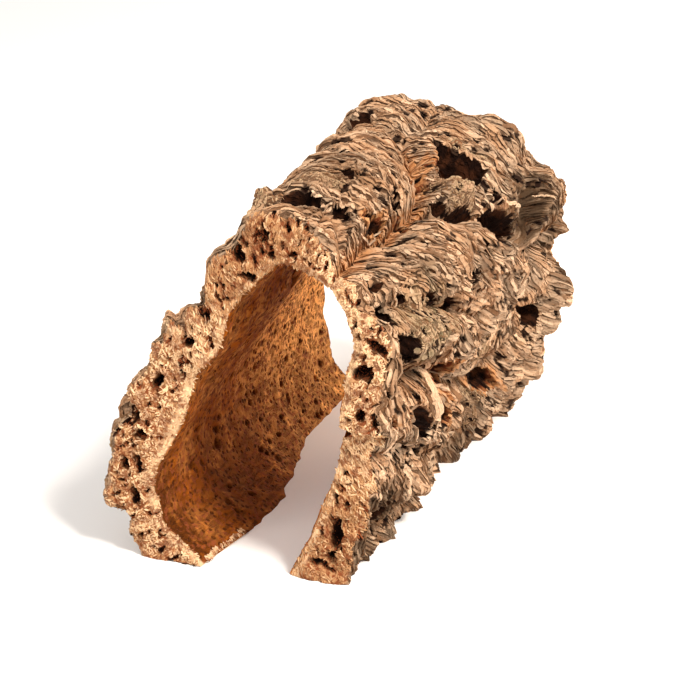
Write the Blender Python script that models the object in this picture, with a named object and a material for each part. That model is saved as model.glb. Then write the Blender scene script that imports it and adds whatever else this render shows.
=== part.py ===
"""A hollow cork branch: one curled piece of rough bark, open underneath, standing on its two long edges.

A flat slab of bark is roughened on its outer side, bent over four cross-sections from the front to the back,
hollowed where the bark has holes, thinned to fewer faces and cut flat where it stands.
Lengths are in millimetres until to_metres. A place on the bark is (around, along): around runs from 0 at the
left foot over the top to 1 at the right foot, along from 0 at the front end to 1 at the back end.
"""

import math

import bmesh
import bpy
import numpy as np
from mathutils import Euler, Matrix, Vector, noise

LENGTH = 212.0
GIRTH = 400.0
TRIANGLES = 9300
SHORTEST_EDGE = 0.1

# Each cross-section runs from the left foot over the top to the right foot.
# A point is (x, z, wall thickness), on the middle of the wall.
FRONT = (
    (13, -4, 14), (-7, 11, 18), (-13, 37, 22), (-3, 62, 24), (6, 84, 21),
    (16.5, 94.5, 17), (27.5, 112, 11), (45, 136, 20), (59, 135.5, 17), (75, 125, 12),
    (87, 105, 16), (85, 86, 16), (82, 59, 17), (76, 32, 19), (62, -4, 21),
)
FORE = (
    (19, -7, 14), (-5, 6, 17), (-18, 32, 19), (-12, 58, 19), (-1, 76, 19),
    (11.5, 92.5, 18), (22.5, 115, 17), (41, 139, 22), (56, 138, 18), (73, 128, 16),
    (88, 110, 19), (91, 87, 19), (88, 60, 19), (79, 30, 19), (64, -5, 19),
)
AFT = (
    (2, -7, 14), (-10, 9, 17), (-17, 31, 19), (-17, 55, 19), (-8, 78, 19),
    (4, 99, 19), (17, 121, 21), (30, 137, 23), (51, 137, 19), (77, 127, 17),
    (94, 111, 19), (96, 92, 19), (85, 64, 19), (73, 32, 19), (66, -5, 19),
)
BACK = (
    (3, -10, 14), (-14, 7, 17), (-20, 28, 19), (-23, 52, 19), (-17, 76, 19),
    (-8, 100, 19), (4, 126, 19), (21, 139, 21), (48, 137, 21), (74, 131, 19),
    (90, 117, 19), (100, 99, 19), (102, 68, 19), (89, 34, 19), (73, -5, 19),
)
SECTIONS = (FRONT, FORE, AFT, BACK)

CELLS_AROUND = 150
CELLS_ALONG = 88
CELLS_THROUGH = 7

# A furrow between two plates of bark: (half width, depth, its line over the bark).
FURROWS = (
    (12, 9, ((0.633, 0.0), (0.638, 0.11), (0.646, 0.25), (0.648, 0.40), (0.630, 0.464), (0.614, 0.516),
             (0.583, 0.617), (0.558, 0.70), (0.532, 0.746), (0.48, 0.77), (0.42, 0.80))),
    (9, 4, ((0.558, 0.70), (0.560, 0.815), (0.564, 0.905), (0.561, 1.0))),
    (8, 5, ((0.634, 0.05), (0.604, 0.09), (0.560, 0.115), (0.510, 0.10), (0.44, 0.13), (0.39, 0.10))),
    (11, 8, ((0.648, 0.40), (0.671, 0.469), (0.684, 0.53), (0.705, 0.60), (0.742, 0.68), (0.785, 0.77),
             (0.80, 0.87), (0.79, 1.0))),
    (9, 6, ((0.676, 0.0), (0.701, 0.067), (0.725, 0.182), (0.756, 0.312), (0.785, 0.43), (0.82, 0.56))),
    (12, 9, ((0.79, 0.10), (0.81, 0.20), (0.825, 0.29), (0.86, 0.42), (0.90, 0.55), (0.915, 0.70),
             (0.90, 0.84))),
    (8, 6, ((0.865, 0.0), (0.875, 0.10), (0.90, 0.20), (0.925, 0.35), (0.935, 0.50))),
    (8, 7, ((0.935, 0.04), (0.955, 0.12), (0.966, 0.22), (0.955, 0.42), (0.965, 0.60))),
    (8, 5, ((0.80, 0.87), (0.845, 0.80), (0.865, 0.88), (0.88, 1.0))),
    (10, 6, ((0.10, 0.0), (0.135, 0.20), (0.12, 0.45), (0.165, 0.70), (0.145, 1.0))),
    (10, 6, ((0.27, 0.04), (0.25, 0.25), (0.30, 0.50), (0.275, 0.75), (0.31, 1.0))),
    (8, 5, ((0.135, 0.20), (0.19, 0.27), (0.25, 0.25))),
    (8, 5, ((0.12, 0.45), (0.20, 0.52), (0.30, 0.50), (0.38, 0.44), (0.47, 0.50), (0.50, 0.76))),
    (8, 5, ((0.275, 0.75), (0.35, 0.83), (0.42, 0.80), (0.44, 1.0))),
    (7, 4, ((0.38, 0.44), (0.37, 0.27), (0.39, 0.10))),
    (7, 4, ((0.165, 0.70), (0.22, 0.80), (0.275, 0.75))),
)

# A lump that stands out of the bark: (around, along, half width around, half width along, height).
LUMPS = (
    (0.748, 0.17, 19, 17, 7), (0.656, 0.545, 11, 10, 6), (0.735, 0.90, 18, 20, 6), (0.85, 0.93, 12, 12, 1),
    (0.905, 0.92, 10, 9, 2), (0.66, 0.93, 18, 16, 4), (0.965, 0.79, 9, 10, 3), (0.975, 0.68, 9, 9, 3),
    (0.93, 0.32, 11, 10, 4), (0.945, 0.12, 8, 8, 4), (0.952, 0.28, 8, 9, 3), (0.62, 0.90, 24, 20, 4),
    (0.50, 0.90, 26, 18, 1), (0.575, 0.33, 26, 36, 3), (0.70, 0.29, 18, 40, 3), (0.365, 0.03, 10, 9, 2),
    (0.455, 0.02, 10, 9, 2), (0.21, 0.12, 22, 18, 4), (0.20, 0.38, 24, 20, 4), (0.33, 0.62, 22, 18, 4),
    (0.07, 0.33, 16, 24, 4), (0.07, 0.86, 16, 20, 4), (0.21, 0.93, 22, 14, 4), (0.36, 0.94, 20, 12, 4),
    (0.43, 0.28, 18, 24, 3), (0.505, 0.085, 9, 10, 7), (0.442, 0.015, 11, 9, 6), (0.385, 0.015, 8, 8, 3),
    (0.32, 0.015, 10, 9, 8), (0.21, 0.02, 9, 9, -1), (0.112, 0.01, 9, 8, 8), (0.05, 0.01, 8, 8, 2),
    (0.488, 0.55, 12, 14, 4), (0.561, 0.97, 10, 14, 4), (0.60, 0.95, 10, 14, -3), (0.693, 0.95, 12, 16, -6),
    (0.758, 0.985, 10, 10, 8), (0.815, 0.94, 9, 16, -8), (0.875, 0.985, 12, 10, 9), (0.935, 0.985, 14, 10, 7),
    (0.97, 0.915, 9, 9, -9), (0.985, 0.27, 8, 9, 5), (0.968, 0.07, 7, 9, -4),
    (0.985, 0.81, 8, 8, 5), (0.84, 0.955, 9, 12, -6), (0.803, 0.893, 8, 9, -6), (0.79, 1.0, 8, 9, 8),
    (0.204, 0.034, 9, 9, -3), (0.922, 1.0, 9, 9, -4), (0.965, 0.113, 8, 8, -4),
)

# The growth ledges of one plate: (around, along, direction of its ledges in degrees: 0 around, 90 along).
PLATES = (
    (0.55, 0.03, 40), (0.60, 0.06, 25), (0.53, 0.25, 7), (0.585, 0.22, 14), (0.57, 0.40, 8),
    (0.615, 0.38, -10), (0.50, 0.62, 0), (0.52, 0.85, -25), (0.46, 0.93, -15), (0.60, 0.80, -8),
    (0.66, 0.80, -12), (0.62, 0.93, -5), (0.72, 0.80, 12), (0.75, 0.92, 30), (0.65, 0.14, 34),
    (0.68, 0.27, 40), (0.705, 0.40, 36), (0.745, 0.48, 52), (0.72, 0.26, 56), (0.78, 0.64, 52),
    (0.81, 0.58, 60), (0.86, 0.90, 56), (0.75, 0.15, 17), (0.79, 0.12, 20), (0.82, 0.38, 55),
    (0.84, 0.08, 38), (0.87, 0.20, 44), (0.92, 0.14, 42), (0.93, 0.80, 55), (0.96, 0.40, 60),
    (0.05, 0.20, 20), (0.05, 0.75, -10), (0.19, 0.10, -20), (0.20, 0.38, 10), (0.22, 0.65, 24),
    (0.21, 0.92, -5), (0.33, 0.20, 12), (0.34, 0.62, -12), (0.42, 0.25, -8), (0.42, 0.60, 18),
    (0.36, 0.93, 8),
)
LEDGE_PITCH = 11.0
LEDGE_DEPTH = 5.0

# A hole in the outer face: (around, along, half width around, half width along, depth, turn in degrees).
HOLES = (
    (0.636, 0.665, 10, 15, 15, -20), (0.552, 0.052, 8, 6, 9, 10), (0.591, 0.139, 5, 4, 6, 0),
    (0.625, 0.190, 7, 5, 8, 0), (0.701, 0.60, 11, 6, 10, 20), (0.667, 0.455, 6, 8, 7, 30),
    (0.738, 0.401, 4.2, 3.4, 6, 10), (0.727, 0.486, 3, 4, 5, 0), (0.815, 0.235, 9, 10, 10, 40),
    (0.862, 0.43, 7, 12, 9, 40), (0.912, 0.62, 8, 10, 9, 20), (0.862, 0.172, 9, 5, 9, 10),
    (0.859, 0.838, 6, 6, 9, 0), (0.868, 0.962, 4, 4, 6, 0), (0.497, 0.768, 7, 5, 8, 0),
    (0.948, 0.105, 6, 9, 10, 10), (0.893, 0.126, 4, 4, 6, 0), (0.60, 0.432, 7, 2.5, 5, -12),
    (0.70, 0.085, 9, 4, 7, 30), (0.745, 0.295, 8, 3, 6, 40), (0.22, 0.235, 7, 6, 9, 30),
    (0.335, 0.70, 6, 9, 9, 0), (0.115, 0.62, 6, 8, 8, 0), (0.427, 0.355, 5.5, 7, 8, 20),
    (0.27, 0.90, 8, 5, 8, 0), (0.05, 0.50, 6, 6, 7, 0), (0.39, 0.60, 8, 4, 7, 10),
)

# A pit in the front end: (x, z, half width, half height, depth, turn in degrees).
FRONT_PITS = (
    (34.5, 130.0, 3.6, 4.6, 8, 20), (38.0, 122.5, 4.0, 2.4, 7, 0), (47.5, 131.5, 2.6, 2.2, 5, 0),
    (56.0, 132.5, 2.4, 2.0, 5, 0), (45.5, 140.0, 2.6, 2.0, 6, 0), (21.0, 105.5, 2.4, 3.4, 6, 0),
    (13.5, 93.5, 3.4, 2.4, 7, 20), (-1.0, 75.0, 2.8, 4.6, 8, -30), (-10.5, 60.0, 2.4, 3.6, 6, 0),
    (-9.0, 52.5, 4.2, 3.4, 8, 10), (-16.5, 39.0, 2.6, 3.4, 6, 0), (-11.0, 41.0, 2.2, 3.6, 6, 20),
    (-12.0, 27.0, 2.6, 5.0, 7, 20), (87.0, 102.0, 2.6, 3.8, 7, 20), (85.0, 91.0, 5.0, 4.6, 9, 0),
    (84.0, 75.0, 2.6, 3.4, 6, 0), (88.5, 71.5, 2.0, 4.4, 6, 0), (75.0, 62.0, 3.0, 2.0, 6, 0),
    (66.5, 27.0, 3.4, 9.0, 8, -8), (69.0, 11.0, 3.4, 3.0, 6, 0), (63.0, 8.0, 2.6, 2.2, 5, 0),
)


def spline(points, where):
    """The smooth curve through points (first axis), at where, from 0 at the first point to 1 at the last."""
    last = len(points) - 1
    place = np.clip(where, 0.0, 1.0) * last
    start = np.clip(place.astype(int), 0, last - 1)
    f = (place - start)[:, None]
    first, end = 2 * points[:1] - points[1:2], 2 * points[-1:] - points[-2:-1]
    padded = np.concatenate([first, points, end])
    if padded.ndim == 2:
        p0, p1, p2, p3 = (padded[start + i] for i in range(4))
    else:
        each = np.arange(len(where))
        p0, p1, p2, p3 = (padded[start + i, each] for i in range(4))
    curve = 2 * p1 + (p2 - p0) * f + (2 * p0 - 5 * p1 + 4 * p2 - p3) * f**2
    return (curve + (3 * p1 - p0 - 3 * p2 + p3) * f**3) / 2


def wall(around, along):
    """(middle of the wall as x, y, z; wall thickness) at those places on the bark."""
    sections = np.stack([spline(np.array(section, float), around) for section in SECTIONS])
    x, z, thickness = spline(sections, along).T
    return np.stack([x, (along - 0.5) * LENGTH, z], axis=1), thickness


def outward(around, along):
    """The direction out of the bark, square to the middle of its wall."""
    step = 1e-3
    side = wall(np.clip(around + step, 0, 1), along)[0] - wall(np.clip(around - step, 0, 1), along)[0]
    axis = wall(around, np.clip(along + step, 0, 1))[0] - wall(around, np.clip(along - step, 0, 1))[0]
    normal = np.cross(side, axis)
    return normal / np.linalg.norm(normal, axis=1)[:, None]


def rough(places, size, seed):
    """Smooth noise from about -1 to 1 at places in millimetres, with bumps of that size."""
    shift = Vector((seed * 7.3, seed * 3.1, seed * 5.7))
    return np.array([noise.noise(Vector(p) / size + shift) for p in places])


def distance_to_line(flat, line):
    """How far each flat place is from a line of (around, along) points, in millimetres over the bark."""
    ends = np.array(line) * (GIRTH, LENGTH)
    nearest = np.full(len(flat), np.inf)
    for a, b in zip(ends[:-1], ends[1:]):
        share = np.clip((flat - a) @ (b - a) / ((b - a) @ (b - a)), 0, 1)
        nearest = np.minimum(nearest, np.linalg.norm(flat - a - share[:, None] * (b - a), axis=1))
    return nearest


def furrow_relief(flat, wander):
    """Sharp valleys along the furrows, with the plates between them doming up."""
    deepest = np.zeros(len(flat))
    nearest = np.full(len(flat), 30.0)
    for half_width, depth, line in FURROWS:
        away = distance_to_line(flat + wander, line)
        nearest = np.minimum(nearest, away)
        deepest = np.maximum(deepest, depth * np.clip(1 - away / half_width, 0, 1) ** 1.4)
    return 2.5 * np.sin(nearest / 30.0 * math.pi / 2) - 2.6 - deepest


def ledge_relief(flat, wander):
    """Growth ledges: each plate's own slanting steps, steep on the side they are counted from."""
    seeds = np.array([(a * GIRTH, b * LENGTH) for a, b, _ in PLATES])
    angles = np.radians([angle for _, _, angle in PLATES])
    gap = ((flat + 1.5 * wander)[:, None, :] - seeds[None]) ** 2
    plate = gap.sum(axis=2).argmin(axis=1)
    turn = angles[plate]
    local = flat - seeds[plate]
    with_grain = local[:, 0] * np.cos(turn) + local[:, 1] * np.sin(turn)
    across = -local[:, 0] * np.sin(turn) + local[:, 1] * np.cos(turn)
    stretched = np.stack([with_grain / 3, across, plate * 11.0], axis=1)
    bend = 5.0 * rough(stretched, 9.0, 1) - with_grain**2 / 90.0
    phase = (across + bend) / LEDGE_PITCH
    saw = phase - np.floor(phase)
    tooth = np.where(saw < 0.2, saw / 0.2, (1 - saw) / 0.8)
    strength = np.clip(0.8 + 0.9 * rough(stretched, 9.0, 2), 0.2, 1.3)
    return LEDGE_DEPTH * (tooth - 0.5) * strength


def lump_relief(flat):
    height = np.zeros(len(flat))
    for around, along, wide, long, high in LUMPS:
        apart = (flat - (around * GIRTH, along * LENGTH)) / (wide, long)
        height += high * np.clip(1 - (apart**2).sum(axis=1), 0, None) ** 1.2
    return height


def outer_relief(around, along):
    """How far the rough outer face stands out of the smooth one, in millimetres."""
    flat = np.stack([around * GIRTH, along * LENGTH], axis=1)
    deep = np.column_stack([flat, np.zeros(len(flat))])
    wander = np.stack([rough(deep, 16.0, 3), rough(deep, 16.0, 4)], axis=1) * 4.0
    relief = furrow_relief(flat, wander) + ledge_relief(flat, wander) + lump_relief(flat + wander)
    return relief + 1.8 * rough(deep, 30.0, 5) + 1.6 * rough(deep, 8.0, 6)


def slab():
    """A unit block cut into cells: x goes around the branch, y along it and z through the bark."""
    bm = bmesh.new()
    bmesh.ops.create_grid(bm, x_segments=CELLS_AROUND, y_segments=CELLS_ALONG, size=0.5)
    bmesh.ops.translate(bm, verts=bm.verts, vec=(0.5, 0.5, 0.0))
    lid = bmesh.ops.extrude_face_region(bm, geom=bm.faces[:])
    top = [v for v in lid["geom"] if isinstance(v, bmesh.types.BMVert)]
    bmesh.ops.translate(bm, verts=top, vec=(0, 0, 1))
    upright = [e for e in bm.edges if abs(e.verts[0].co.z - e.verts[1].co.z) > 0.5]
    bmesh.ops.subdivide_edges(bm, edges=upright, cuts=CELLS_THROUGH - 1, use_grid_fill=True)
    return bm


def end_relief(around, along, through, place):
    """How far the torn ends stand out along the branch, in millimetres."""
    near_front = np.clip(1 - along * LENGTH / 14.0, 0, 1)
    near_back = np.clip(1 - (1 - along) * LENGTH / 14.0, 0, 1)
    coarse, fine = rough(place, 14.0, 7), rough(place, 5.0, 8)
    overhang = np.where(around < 0.868, 2.0, -4.0) * (around > 0.70)
    lip = 1.5 * (np.abs(through - 0.5) * 2) ** 4
    front = 1.8 * coarse + 1.0 * fine + overhang - lip
    back = 5.0 * coarse + 1.6 * fine - lip
    return back * near_back - front * near_front


def bent_bark():
    """The slab with its relief, bent over the cross-sections."""
    bm = slab()
    around, along, through = np.array([v.co for v in bm.verts]).T
    middle, thickness = wall(around, along)
    out = outward(around, along)
    raised = outer_relief(around, along) * through**2
    place = middle + out * ((through - 0.5) * thickness + raised)[:, None]
    inside = (1 - through) ** 2 * (1.6 * rough(place, 22.0, 9) + 0.8 * rough(place, 7.0, 10))
    place += out * inside[:, None]
    place[:, 1] += end_relief(around, along, through, place)
    for v, p in zip(bm.verts, place):
        v.co = p
    bmesh.ops.recalc_face_normals(bm, faces=bm.faces)
    return bm


def lumpy_ball(bm, centre, turn, radii, seed):
    """A ball with uneven sides, stretched to those radii along the turned axes, added to the mesh."""
    ball = bmesh.ops.create_icosphere(bm, subdivisions=2, radius=1.0)["verts"]
    for v in ball:
        v.co *= 1 + 0.35 * noise.noise(v.co * 1.6 + Vector((seed, seed * 0.7, 0)))
    place = Matrix.Translation(centre) @ turn.to_4x4() @ Matrix.Diagonal((*radii, 1.0))
    bmesh.ops.transform(bm, matrix=place, verts=ball)


def holes_and_pits():
    """The shapes that hollow the bark: its deep holes and the pits of its front end."""
    bm = bmesh.new()
    for seed, (around, along, wide, long, deep, turn) in enumerate(HOLES):
        spot = np.array([around]), np.array([along])
        out = Vector(outward(*spot)[0])
        middle, thickness = wall(*spot)
        surface = Vector(middle[0]) + out * (thickness[0] / 2 + outer_relief(*spot)[0])
        axis = Vector((0, 1, 0))
        side = axis.cross(out).normalized()
        frame = Matrix((side, out.cross(side), out)).transposed()
        spin = Matrix.Rotation(math.radians(turn), 3, "Z")
        lumpy_ball(bm, surface - out * 0.15 * deep, frame @ spin, (wide, long, deep), seed)
    for seed, (x, z, wide, high, deep, turn) in enumerate(FRONT_PITS):
        spin = Euler((0, math.radians(turn), 0)).to_matrix()
        lumpy_ball(bm, Vector((x, -LENGTH / 2, z)), spin, (wide, deep, high), 40 + seed)
    return bm


def floor_block():
    """Everything below the plane the branch stands on."""
    bm = bmesh.new()
    bmesh.ops.create_cube(bm, size=1.0)
    bmesh.ops.scale(bm, vec=(400, 400, 100), verts=bm.verts)
    bmesh.ops.translate(bm, vec=(0, 0, -50), verts=bm.verts)
    return bm


def largest_piece(bm):
    """Remove the crumbs that the cuts have left loose."""
    seen, pieces = set(), []
    for start in bm.verts:
        if start in seen:
            continue
        piece, waiting = [], [start]
        seen.add(start)
        while waiting:
            v = waiting.pop()
            piece.append(v)
            for edge in v.link_edges:
                other = edge.other_vert(v)
                if other not in seen:
                    seen.add(other)
                    waiting.append(other)
        pieces.append(piece)
    pieces.sort(key=len)
    bmesh.ops.delete(bm, geom=[v for piece in pieces[:-1] for v in piece], context="VERTS")


def remove_flat_folds(bm):
    """Take out the pairs of triangles that lie back to back on the same three corners."""
    met = {}
    for face in bm.faces:
        met.setdefault(frozenset(face.verts), []).append(face)
    doubled = [face for faces in met.values() if len(faces) > 1 for face in faces]
    bmesh.ops.delete(bm, geom=doubled, context="FACES")


def add_object(name, bm, collection):
    mesh = bpy.data.meshes.new(name)
    bm.to_mesh(mesh)
    bm.free()
    obj = bpy.data.objects.new(name, mesh)
    collection.objects.link(obj)
    return obj


def new_collection(name):
    collection = bpy.data.collections.new(name)
    bpy.context.scene.collection.children.link(collection)
    return collection


def cork_material():
    material = bpy.data.materials.new("cork bark")
    material.use_nodes = True
    surface = material.node_tree.nodes["Principled BSDF"]
    surface.inputs["Base Color"].default_value = (0.42, 0.24, 0.12, 1.0)
    surface.inputs["Roughness"].default_value = 0.9
    surface.inputs["Metallic"].default_value = 0.0
    return material


def cut_away(obj, cutter):
    """Take the cutter's volume out of the object with an exact Boolean."""
    cutter.hide_render = True
    cutter.display_type = "WIRE"
    cut = obj.modifiers.new(f"less {cutter.name}", "BOOLEAN")
    cut.operation = "DIFFERENCE"
    cut.solver = "EXACT"
    cut.object = cutter


def evaluated(obj):
    """The object's mesh with its modifiers worked out, as triangles."""
    graph = bpy.context.evaluated_depsgraph_get()
    bm = bmesh.new()
    bm.from_object(obj, graph)
    bmesh.ops.triangulate(bm, faces=bm.faces)
    return bm


def main():
    for obj in list(bpy.data.objects):
        bpy.data.objects.remove(obj)
    branch = new_collection("cork branch")
    cutters = new_collection("cutters")
    rough_bark = add_object("rough_bark", bent_bark(), cutters)
    holes = add_object("holes_and_pits", holes_and_pits(), cutters)
    floor = add_object("below_the_floor", floor_block(), cutters)
    rough_bark.hide_render = True
    rough_bark.display_type = "WIRE"
    cut_away(rough_bark, holes)
    hollowed = evaluated(rough_bark)
    largest_piece(hollowed)
    thinned = add_object("thinned_bark", hollowed, cutters)
    thinned.hide_render = True
    thinned.display_type = "WIRE"
    fewer = thinned.modifiers.new("fewer faces", "DECIMATE")
    fewer.ratio = TRIANGLES / len(thinned.data.polygons)
    fewer.use_collapse_triangulate = True
    cut_away(thinned, floor)
    bark = evaluated(thinned)
    largest_piece(bark)
    bmesh.ops.remove_doubles(bark, verts=bark.verts, dist=SHORTEST_EDGE)
    bmesh.ops.dissolve_degenerate(bark, dist=SHORTEST_EDGE, edges=bark.edges)
    bmesh.ops.triangulate(bark, faces=bark.faces)
    remove_flat_folds(bark)
    places = np.array([v.co for v in bark.verts])
    centre = (places.min(axis=0) + places.max(axis=0)) / 2
    shift = Vector((-centre[0], -centre[1], 0.0))
    bmesh.ops.translate(bark, vec=shift, verts=bark.verts)
    obj = add_object("cork_branch", bark, branch)
    obj.data.transform(Matrix.Scale(0.001, 4))
    obj.data.materials.append(cork_material())
    print("shift", tuple(shift), "triangles", len(obj.data.polygons))
    return obj, shift


result = main()
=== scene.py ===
# %% [markdown]
# # A hollow cork branch
#
# This is the bark of one cork branch: a curled piece, rough outside, nearly smooth inside, that stands on
# its two long edges like a tunnel. Cork bark grows a thin layer each year. Outside, the old layers split
# into plates with deep furrows between them, and on a plate the edges of the layers show as thin wavy
# lamellae. Where the branch was cut, the torn cork is pale and full of short strokes. The plain solid of
# the part is the frame here, and this lesson dresses it: first the body with its furrows, then the lamellae
# and the grains that are too fine for the body, and then the finishes.

# %% The tools and the solid
import math

import bmesh
import bpy
import numpy as np
from mathutils import Matrix, Vector, noise


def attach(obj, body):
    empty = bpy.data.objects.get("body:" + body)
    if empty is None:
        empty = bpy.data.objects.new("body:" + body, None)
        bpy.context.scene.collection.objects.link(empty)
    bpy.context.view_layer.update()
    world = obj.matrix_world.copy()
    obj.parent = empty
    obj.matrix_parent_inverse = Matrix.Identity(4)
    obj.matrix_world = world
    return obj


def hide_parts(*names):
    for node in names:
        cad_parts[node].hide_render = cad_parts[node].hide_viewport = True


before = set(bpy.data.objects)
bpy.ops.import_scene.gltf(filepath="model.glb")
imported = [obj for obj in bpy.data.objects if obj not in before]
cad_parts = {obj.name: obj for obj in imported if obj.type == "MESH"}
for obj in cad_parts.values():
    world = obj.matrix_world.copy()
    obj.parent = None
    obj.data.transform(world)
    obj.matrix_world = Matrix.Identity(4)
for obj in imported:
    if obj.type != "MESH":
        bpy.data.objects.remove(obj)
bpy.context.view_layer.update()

# %% [markdown]
# ## The form of the bark
#
# A place on the bark is a pair (around, along). Around runs from 0 at the left foot over the top to 1 at
# the right foot, and along runs from 0 at the front end to 1 at the back end. Four cross-sections give the
# middle of the wall and its thickness. A smooth curve through them, first around and then along, gives
# every place between. The part's own source has the same sections, so the dressed bark lies where the solid
# is. Everything is in millimetres until a piece is finished.

# %% The cross-sections
# The bark's length, and about how far it is around its outer face from foot to foot.
LENGTH = 212.0
GIRTH = 400.0
# The shift from the sections' own zero to the part's origin.
TO_ORIGIN = np.array((-38.2765, -0.8694, 0.0))
TO_METRES = 0.001

# A point of a section: (x, z, wall thickness), from the left foot over the top to the right foot.
FRONT = (
    (13, -4, 14), (-7, 11, 18), (-13, 37, 22), (-3, 62, 24), (6, 84, 21),
    (16.5, 94.5, 17), (27.5, 112, 11), (45, 136, 20), (59, 135.5, 17), (75, 125, 12),
    (87, 105, 16), (85, 86, 16), (82, 59, 17), (76, 32, 19), (62, -4, 21),
)
FORE = (
    (19, -7, 14), (-5, 6, 17), (-18, 32, 19), (-12, 58, 19), (-1, 76, 19),
    (11.5, 92.5, 18), (22.5, 115, 17), (41, 139, 22), (56, 138, 18), (73, 128, 16),
    (88, 110, 19), (91, 87, 19), (88, 60, 19), (79, 30, 19), (64, -5, 19),
)
AFT = (
    (2, -7, 14), (-10, 9, 17), (-17, 31, 19), (-17, 55, 19), (-8, 78, 19),
    (4, 99, 19), (17, 121, 21), (30, 137, 23), (51, 137, 19), (77, 127, 17),
    (94, 111, 19), (96, 92, 19), (85, 64, 19), (73, 32, 19), (66, -5, 19),
)
BACK = (
    (3, -10, 14), (-14, 7, 17), (-20, 28, 19), (-23, 52, 19), (-17, 76, 19),
    (-8, 100, 19), (4, 126, 19), (21, 139, 21), (48, 137, 21), (74, 131, 19),
    (90, 117, 19), (100, 99, 19), (102, 68, 19), (89, 34, 19), (73, -5, 19),
)
SECTIONS = (FRONT, FORE, AFT, BACK)


def spline(points, where):
    """The smooth curve through points (first axis), at where, from 0 at the first point to 1 at the last."""
    last = len(points) - 1
    place = np.clip(where, 0.0, 1.0) * last
    start = np.clip(place.astype(int), 0, last - 1)
    f = (place - start)[:, None]
    first, end = 2 * points[:1] - points[1:2], 2 * points[-1:] - points[-2:-1]
    padded = np.concatenate([first, points, end])
    if padded.ndim == 2:
        p0, p1, p2, p3 = (padded[start + i] for i in range(4))
    else:
        each = np.arange(len(where))
        p0, p1, p2, p3 = (padded[start + i, each] for i in range(4))
    curve = 2 * p1 + (p2 - p0) * f + (2 * p0 - 5 * p1 + 4 * p2 - p3) * f**2
    return (curve + (3 * p1 - p0 - 3 * p2 + p3) * f**3) / 2


def wall(around, along):
    """(middle of the wall as x, y, z; wall thickness) at those places on the bark."""
    sections = np.stack([spline(np.array(section, float), around) for section in SECTIONS])
    x, z, thickness = spline(sections, along).T
    return np.stack([x, (along - 0.5) * LENGTH, z], axis=1), thickness


def unit(vectors):
    """The same directions with length 1."""
    return vectors / np.maximum(np.linalg.norm(vectors, axis=-1, keepdims=True), 1e-9)


def square_to(vectors, axis):
    """The directions of the vectors once their part along the axis is taken out."""
    return unit(vectors - axis * (vectors * axis).sum(axis=-1, keepdims=True))


NEXT_TO = 1e-3


def lengthwise(around, along):
    """The way along the branch at those places, from its front to its back."""
    return wall(around, np.clip(along + NEXT_TO, 0, 1))[0] - wall(around, np.clip(along - NEXT_TO, 0, 1))[0]


def outward(around, along):
    """The direction out of the bark, square to the middle of its wall."""
    side = wall(np.clip(around + NEXT_TO, 0, 1), along)[0] - wall(np.clip(around - NEXT_TO, 0, 1), along)[0]
    return unit(np.cross(side, lengthwise(around, along)))


def rough(places, size, seed):
    """Smooth noise from about -1 to 1 at places in millimetres, with bumps of that size."""
    shifted = np.asarray(places) / size + (seed * 7.3, seed * 3.1, seed * 5.7)
    return np.array([noise.noise(p) for p in shifted.tolist()])


def rough_flat(flat, size, seed):
    """The same noise on the rolled-out bark."""
    return rough(np.column_stack([flat, np.zeros(len(flat))]), size, seed)


def flat_map(around, along):
    """The bark rolled out flat: millimetres around and millimetres along."""
    return np.stack([around * GIRTH, along * LENGTH], axis=1)


def from_spot(flat, around, along, wide, long):
    """How far each flat place is from a spot: 0 in its middle and 1 on its edge, by its half widths."""
    return np.linalg.norm((flat - (around * GIRTH, along * LENGTH)) / (wide, long), axis=1)


def pressed(near, local, deep, relief):
    """Press a pit into the near places of a relief, which is (depth, depth from 0 to 1)."""
    cut = np.clip(1 - np.linalg.norm(local, axis=1) ** 2, 0, 1)
    relief[0][near] = np.maximum(relief[0][near], deep * cut)
    relief[1][near] = np.maximum(relief[1][near], cut)


print("wall at the top of the front end, in mm:", wall(np.array([0.5]), np.array([0.0])))

# %% [markdown]
# ## Furrows, plates, lumps and holes
#
# The furrows are lines on the rolled-out bark. The bark sinks sharply towards each line and domes between
# the lines. Each plate has its own lamella direction, read off the photo as an angle from the around
# direction, and large ledges follow it. Lumps stand out, and holes go in. The values began as the part's
# own, so that the body and the solid agree. Some are placed more exactly here, and finer ledges and forms
# are added.

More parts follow.
